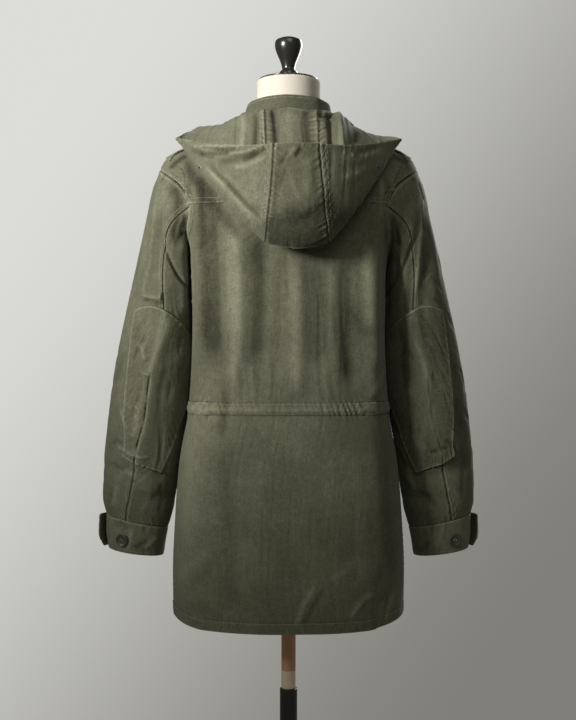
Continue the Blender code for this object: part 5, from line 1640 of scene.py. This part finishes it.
def make_form():
    """The limbless torso under its jersey cover, and the neck."""
    angle = np.arange(96) * 2 * math.pi / 96
    rings = [form_ring(angle, z) for z in np.linspace(FORM[0][0], FORM[-1][0], 70)]
    rings += [shoulder_form_ring(angle, z) for z in np.linspace(SHOULDER_START_Z, NECKLINE_Z, 12)]
    rings += [neck_ring(angle, z) for z in np.linspace(NECK_START_Z, NECK_TOP_Z - NECK_BEVEL, 16)]
    rings.append(neck_ring(angle, NECK_TOP_Z) * (0.975, 0.975, 1) + (0, 0.00005, 0))
    grid = np.array(rings)
    rows, columns = grid.shape[:2]
    index, faces = grid_faces(rows, columns, True)
    low, high = (np.full(columns, rows * columns + end) for end in (0, 1))
    caps = [np.stack([index[0, 1:], index[0, :-1], low], -1)]
    caps.append(np.stack([index[-1, :-1], index[-1, 1:], high], -1))
    points = np.concatenate([grid.reshape(-1, 3), [grid[0].mean(0), grid[-1].mean(0)]])
    piece = add_mesh("form_cover", points, [faces, *caps], MATERIAL["jersey"])
    fasten(piece, "cream_jersey", "dress_form")


def make_stand():
    """Smooth turned pieces for the cap, the finial, the pole, the tube, its socket and the base."""
    top, edge = NECK_TOP_Z + LAID, NECK_TOP_Z + 0.0025
    cap = ((0, CAP_TOP_Z), (0.020, CAP_TOP_Z), (0.038, CAP_TOP_Z - 0.003), (CAP_RADIUS, edge),
           (CAP_RADIUS, top), (0, top))
    radii, levels = np.array(FINIAL[1:-1])[::-1].T
    z = np.linspace(levels[-1], levels[0], 40)
    (_, tip), (_, foot) = FINIAL[0], FINIAL[-1]
    finial = [(0, tip), (0.007, tip - 0.0001), *zip(monotone(levels, radii)(z), z), (0, foot)]
    pole, tube = (
        rounded(((0, high), (radius, high), (radius, low), (0, low)))
        for radius, high, low in (
            (POLE_RADIUS, FORM[0][0] - LAID, TUBE_TOP_Z + LAID),
            (TUBE_RADIUS, TUBE_TOP_Z, SOCKET[0][1] + LAID),
        )
    )
    for name, node, outline, material, slot, steps in (
        ("turned_cap", "neck_cap", rounded(cap, 0.006), "black_wood", "black_wood", 96),
        ("turned_finial", "finial", finial, "black_wood", "black_wood", 96),
        ("turned_pole", "pole", pole, "wood", "brown_wood", 96),
        ("turned_tube", "stand_tube", tube, "lacquer", "black_lacquer", 96),
        ("turned_socket", "stand_socket", rounded(SOCKET), "lacquer", "black_lacquer", 96),
        ("turned_base", "stand_base", rounded(BASE, 0.003), "lacquer", "black_lacquer", 160),
    ):
        fasten(lathe(name, outline, MATERIAL[material], steps), slot, node)


# ---------------------------------------------------------------- materials
class Nodes:
    """Short ways to add and join the nodes of a material or a world."""

    def __init__(self, owner):
        owner.use_nodes = True
        self.owner, self.tree = owner, owner.node_tree

    def add(self, kind, out=0, **inputs):
        node = self.tree.nodes.new("ShaderNode" + kind)
        for name, value in inputs.items():
            if hasattr(node, name):
                setattr(node, name, value)
            else:
                self.put(node.inputs[name.replace("_", " ")], value)
        return node.outputs[out]

    def put(self, socket, value):
        if isinstance(value, bpy.types.NodeSocket):
            self.tree.links.new(value, socket)
        else:
            socket.default_value = value

    def math(self, operation, a, b=0.0, clamp=False):
        node = self.tree.nodes.new("ShaderNodeMath")
        node.operation, node.use_clamp = operation, clamp
        self.put(node.inputs[0], a)
        self.put(node.inputs[1], b)
        return node.outputs[0]

    def plus(self, a, b, amount=1.0, middle=0.0):
        """a plus so much of b, which varies about its middle."""
        if middle:
            b = self.math("SUBTRACT", b, middle)
        return self.math("ADD", a, b if amount == 1.0 else self.math("MULTIPLY", b, amount))

    def mix(self, factor, a, b):
        node = self.tree.nodes.new("ShaderNodeMix")
        node.data_type = "RGBA"
        for name, value in (("Factor", factor), ("A", a), ("B", b)):
            self.put(node.inputs[name], value)
        return node.outputs["Result"]

    def place(self):
        """Object coordinates."""
        return self.add("TexCoord", 3)

    def noise(self, vector, scale, detail=3.0, stretch=None, roughness=0.55):
        if stretch:
            vector = self.add("Mapping", Vector=vector, Scale=stretch)
        return self.add("TexNoise", Vector=vector, Scale=scale, Detail=detail, Roughness=roughness)

    def bump(self, height, strength, distance, **normal):
        return self.add("Bump", Height=height, Strength=strength, Distance=distance, **normal)

    def finish(self, **sockets):
        """The material, with these sockets of its shader set or joined."""
        for name, value in sockets.items():
            self.put(self.tree.nodes["Principled BSDF"].inputs[name.replace("_", " ")], value)
        return self.owner


def material_nodes(name, **constants):
    n = Nodes(bpy.data.materials.new(name))
    n.finish(**constants)
    return n


def rgb(r, g, b):
    return (r, g, b, 1.0)


def cotton(name, dark, mid, light):
    """Washed cotton sateen: fine diagonal weave, faint warp streaks and uneven tone, and the tone stored
    on each piece, which holds painted light on ridges and painted shade in troughs, seams and cast
    shadows, with edges also worn paler.
    """
    n = material_nodes(name, Sheen_Weight=0.10, Sheen_Roughness=0.5, Specular_IOR_Level=0.20)
    weave = n.add("Attribute", 1, attribute_name="weave")
    wear = n.add("Attribute", 2, attribute_name="wear")
    place = n.place()
    slub = n.noise(weave, 1.0, 2.0, (60.0, 1500.0, 1.0))
    grain = n.noise(place, 900.0, 2.0)
    # painted light and painted shade: the stored tone moves the colour towards the light or the dark
    # cotton
    tone = n.math("MULTIPLY", wear, 0.55)
    for part, amount in (
        (n.noise(place, 14.0, 4.0), 0.90),
        (n.noise(weave, 1.0, 3.0, (620.0, 38.0, 1.0)), 0.60),
        (slub, 0.25),
        (grain, 0.60),
        (n.noise(place, 110.0, 4.0, roughness=0.7), 0.70),
        (n.noise(place, 340.0, 3.0, roughness=0.6), 1.00),
    ):
        tone = n.plus(tone, part, amount, middle=0.5)
    lighter = n.math("MULTIPLY", tone, 1.0, clamp=True)
    darker = n.math("MULTIPLY", tone, -1.0, clamp=True)
    colour = n.mix(darker, n.mix(lighter, mid, light), dark)
    twill = n.add("TexWave", 1, wave_type="BANDS", bands_direction="DIAGONAL", Vector=weave, Scale=420.0,
                  Distortion=1.2, Detail=1.0)
    threads = n.bump(n.plus(n.math("MULTIPLY", twill, 0.6), slub, 0.5), 0.25, 0.0004)
    crumple = n.plus(n.noise(place, 62.0, 4.0), n.noise(place, 170.0, 3.0), 0.45)
    normal = n.bump(n.plus(crumple, grain, 0.06), 0.50, 0.0016, Normal=threads)
    return n.finish(Base_Color=colour, Roughness=n.plus(0.80, tone, -0.10), Normal=normal)


def plain(name, colour_a, colour_b, roughness, scale, bump=0.05, stretch=None, **constants):
    """A smooth finish with slight variation of tone and gloss, such as plastic or lacquer."""
    n = material_nodes(name, **constants)
    place = n.place()
    tone = n.noise(place, scale, 4.0, stretch)
    fine = n.noise(place, 600.0, 2.0, stretch)
    shine = n.plus(roughness - 0.06, n.plus(tone, fine), 0.06)
    colour, normal = n.mix(tone, colour_a, colour_b), n.bump(fine, bump, 0.0004)
    return n.finish(Base_Color=colour, Roughness=shine, Normal=normal)


def jersey():
    """Cream stockinette: rows of fine loops with slight shading between them."""
    n = material_nodes("jersey", Sheen_Weight=0.25, Sheen_Roughness=0.5, Specular_IOR_Level=0.25)
    place = n.place()
    rows = n.add("TexWave", 1, wave_type="BANDS", bands_direction="Z", Vector=place, Scale=300.0,
                 Distortion=2.0, Detail=2.0)
    fuzz = n.noise(place, 1400.0, 2.0)
    colour = n.mix(n.noise(place, 22.0), rgb(0.47, 0.43, 0.36), rgb(0.57, 0.53, 0.46))
    normal = n.bump(n.plus(rows, fuzz), 0.25, 0.0004)
    return n.finish(Base_Color=colour, Roughness=n.plus(0.78, fuzz, 0.14), Normal=normal)


def pole_wood():
    """Stained wood with a grain along the pole, bare and paler over its lowest band."""
    n = material_nodes("wood", Coat_Weight=0.15, Coat_Roughness=0.3)
    place = n.place()
    grain = n.noise(place, 1.0, 5.0, (230.0, 230.0, 9.0))
    fine = n.noise(place, 1.0, 3.0, (900.0, 900.0, 40.0))
    edge = n.plus(n.add("SeparateXYZ", 2, Vector=place), grain, 0.002, middle=0.5)
    bare = n.math("MULTIPLY", n.math("SUBTRACT", BARE_WOOD_Z, edge), 700.0, clamp=True)
    brown = n.mix(grain, rgb(0.40, 0.185, 0.085), rgb(0.74, 0.42, 0.23))
    pale = n.mix(grain, rgb(0.74, 0.56, 0.38), rgb(0.88, 0.74, 0.55))
    normal = n.bump(n.plus(grain, fine), 0.20, 0.0004)
    return n.finish(Base_Color=n.mix(bare, brown, pale), Roughness=n.plus(0.36, fine, 0.2), Normal=normal)


def floor_paint():
    """Pale matt paint."""
    n = material_nodes("floor", Roughness=0.85, Specular_IOR_Level=0.3)
    colour = n.mix(n.noise(n.place(), 3.0, 5.0), rgb(0.46, 0.46, 0.45), rgb(0.54, 0.54, 0.53))
    return n.finish(Base_Color=colour, Normal=n.bump(n.noise(n.place(), 90.0), 0.1, 0.001))


MATERIAL = {
    "cotton": cotton("cotton", dark=rgb(0.026, 0.026, 0.014), mid=rgb(0.098, 0.099, 0.064),
                     light=rgb(0.215, 0.216, 0.150)),
    "thread": plain("thread", rgb(0.17, 0.17, 0.115), rgb(0.27, 0.27, 0.190), 0.7, 300.0, 0.3),
    "button": plain("button", rgb(0.028, 0.029, 0.019), rgb(0.060, 0.062, 0.042), 0.42, 180.0),
    "black_wood": plain("black_wood", rgb(0.008, 0.008, 0.008), rgb(0.020, 0.018, 0.016), 0.26, 30.0,
                        stretch=(1.0, 1.0, 0.2), Coat_Weight=0.3, Coat_Roughness=0.12),
    "lacquer": plain("lacquer", rgb(0.008, 0.008, 0.009), rgb(0.016, 0.016, 0.016), 0.28, 40.0,
                     Coat_Weight=0.25, Coat_Roughness=0.15),
    # painted shadow: near black, for the middle of each eyelet where its hole would show
    "hole": plain("hole", rgb(0.004, 0.004, 0.004), rgb(0.010, 0.010, 0.008), 0.8, 200.0),
    "jersey": jersey(),
    "wood": pole_wood(),
}

# ---------------------------------------------------------------- the studio
WORLD_TINT, WORLD_POWER = (1.0, 0.99, 0.86), 0.12
SURROUND = ((0.72, 0.72, 0.69), (0.22, 0.213, 0.192))  # at the key light's side, and away from it
SURROUND_SLOPE = (1.1, 0.0, -0.8)  # the way it darkens
FLOOR = ((0, -0.0005), (1.36, -0.0005), (1.38, -0.003), (1.38, -0.02), (0, -0.02))
LIGHTS = (  # name, place, what it faces, side, spread in degrees, power, tint
    ("key", (-1.36, -1.30, 1.64), (-0.14, 0.0, 1.40), 0.45, 46, 5.2, (1.0, 0.985, 0.95)),
    ("fill", (0.3, -1.6, 2.6), (0.0, 0.0, 1.40), 1.2, 100, 3.0, (1.0, 0.99, 0.90)),
    ("front", (1.2, 2.2, 2.2), (0.0, 0.0, 1.0), 1.4, 180, 55.0, (1.0, 1.0, 1.0)),
)
CAMERA_PLACE, LENS, SENSOR = (-0.0008, -CAMERA_AWAY, CAMERA_Z), 56.96, 36.0


def make_surround():
    """A weak even light all round, and a pale shaded tone where the camera looks past the part."""
    world = bpy.data.worlds.new("studio")
    bpy.context.scene.world = world
    n = Nodes(world)
    slope = n.tree.nodes.new("ShaderNodeVectorMath")
    slope.operation, slope.inputs[1].default_value = "DOT_PRODUCT", SURROUND_SLOPE
    n.put(slope.inputs[0], n.add("TexCoord"))
    ramp = n.tree.nodes.new("ShaderNodeValToRGB")
    ramp.color_ramp.interpolation = "EASE"
    for stop, position, colour in zip(ramp.color_ramp.elements, (0.10, 0.90), SURROUND):
        stop.position, stop.color = position, rgb(*colour)
    n.put(ramp.inputs["Fac"], n.math("ADD", slope.outputs["Value"], 0.5))
    shown = n.add("Background", Color=ramp.outputs["Color"])
    lit = n.tree.nodes["Background"]
    n.put(lit.inputs["Color"], rgb(*WORLD_TINT))
    n.put(lit.inputs["Strength"], WORLD_POWER)
    both = n.tree.nodes.new("ShaderNodeMixShader")
    for socket, value in zip(both.inputs, (n.add("LightPath"), lit.outputs[0], shown)):
        n.put(socket, value)
    n.put(n.tree.nodes["World Output"].inputs["Surface"], both.outputs[0])


def make_studio():
    """A round pale floor, a pale surround, a key light at the upper left, a fill and a front light."""
    lathe("floor", FLOOR, floor_paint(), 128)
    make_surround()
    for name, place, aim, size, spread_to, power, tint in LIGHTS:
        light = bpy.data.lights.new(name, "AREA")
        light.shape, light.size, light.energy, light.color = "SQUARE", size, power, tint
        light.spread = math.radians(spread_to)
        lamp = add_object(name, light)
        lamp.location = place
        lamp.rotation_euler = (Vector(aim) - Vector(place)).to_track_quat("-Z", "Y").to_euler()
    bpy.context.scene.view_settings.view_transform = "Standard"
    lens = bpy.data.cameras.new("camera")
    lens.lens, lens.sensor_width = LENS, SENSOR
    camera = add_object("camera", lens)
    camera.location, camera.rotation_euler = CAMERA_PLACE, (math.pi / 2, 0, 0)
    bpy.context.scene.camera = camera


BUTTON_MESH = button_mesh()
make_back()
make_fronts()
make_epaulettes()
make_collar()
make_hood()
make_sleeves()
make_elbow_patches()
make_cuffs()
make_form()
make_stand()
make_studio()

for piece, width, length, area in SHEETS:
    area = min(area, width * length)
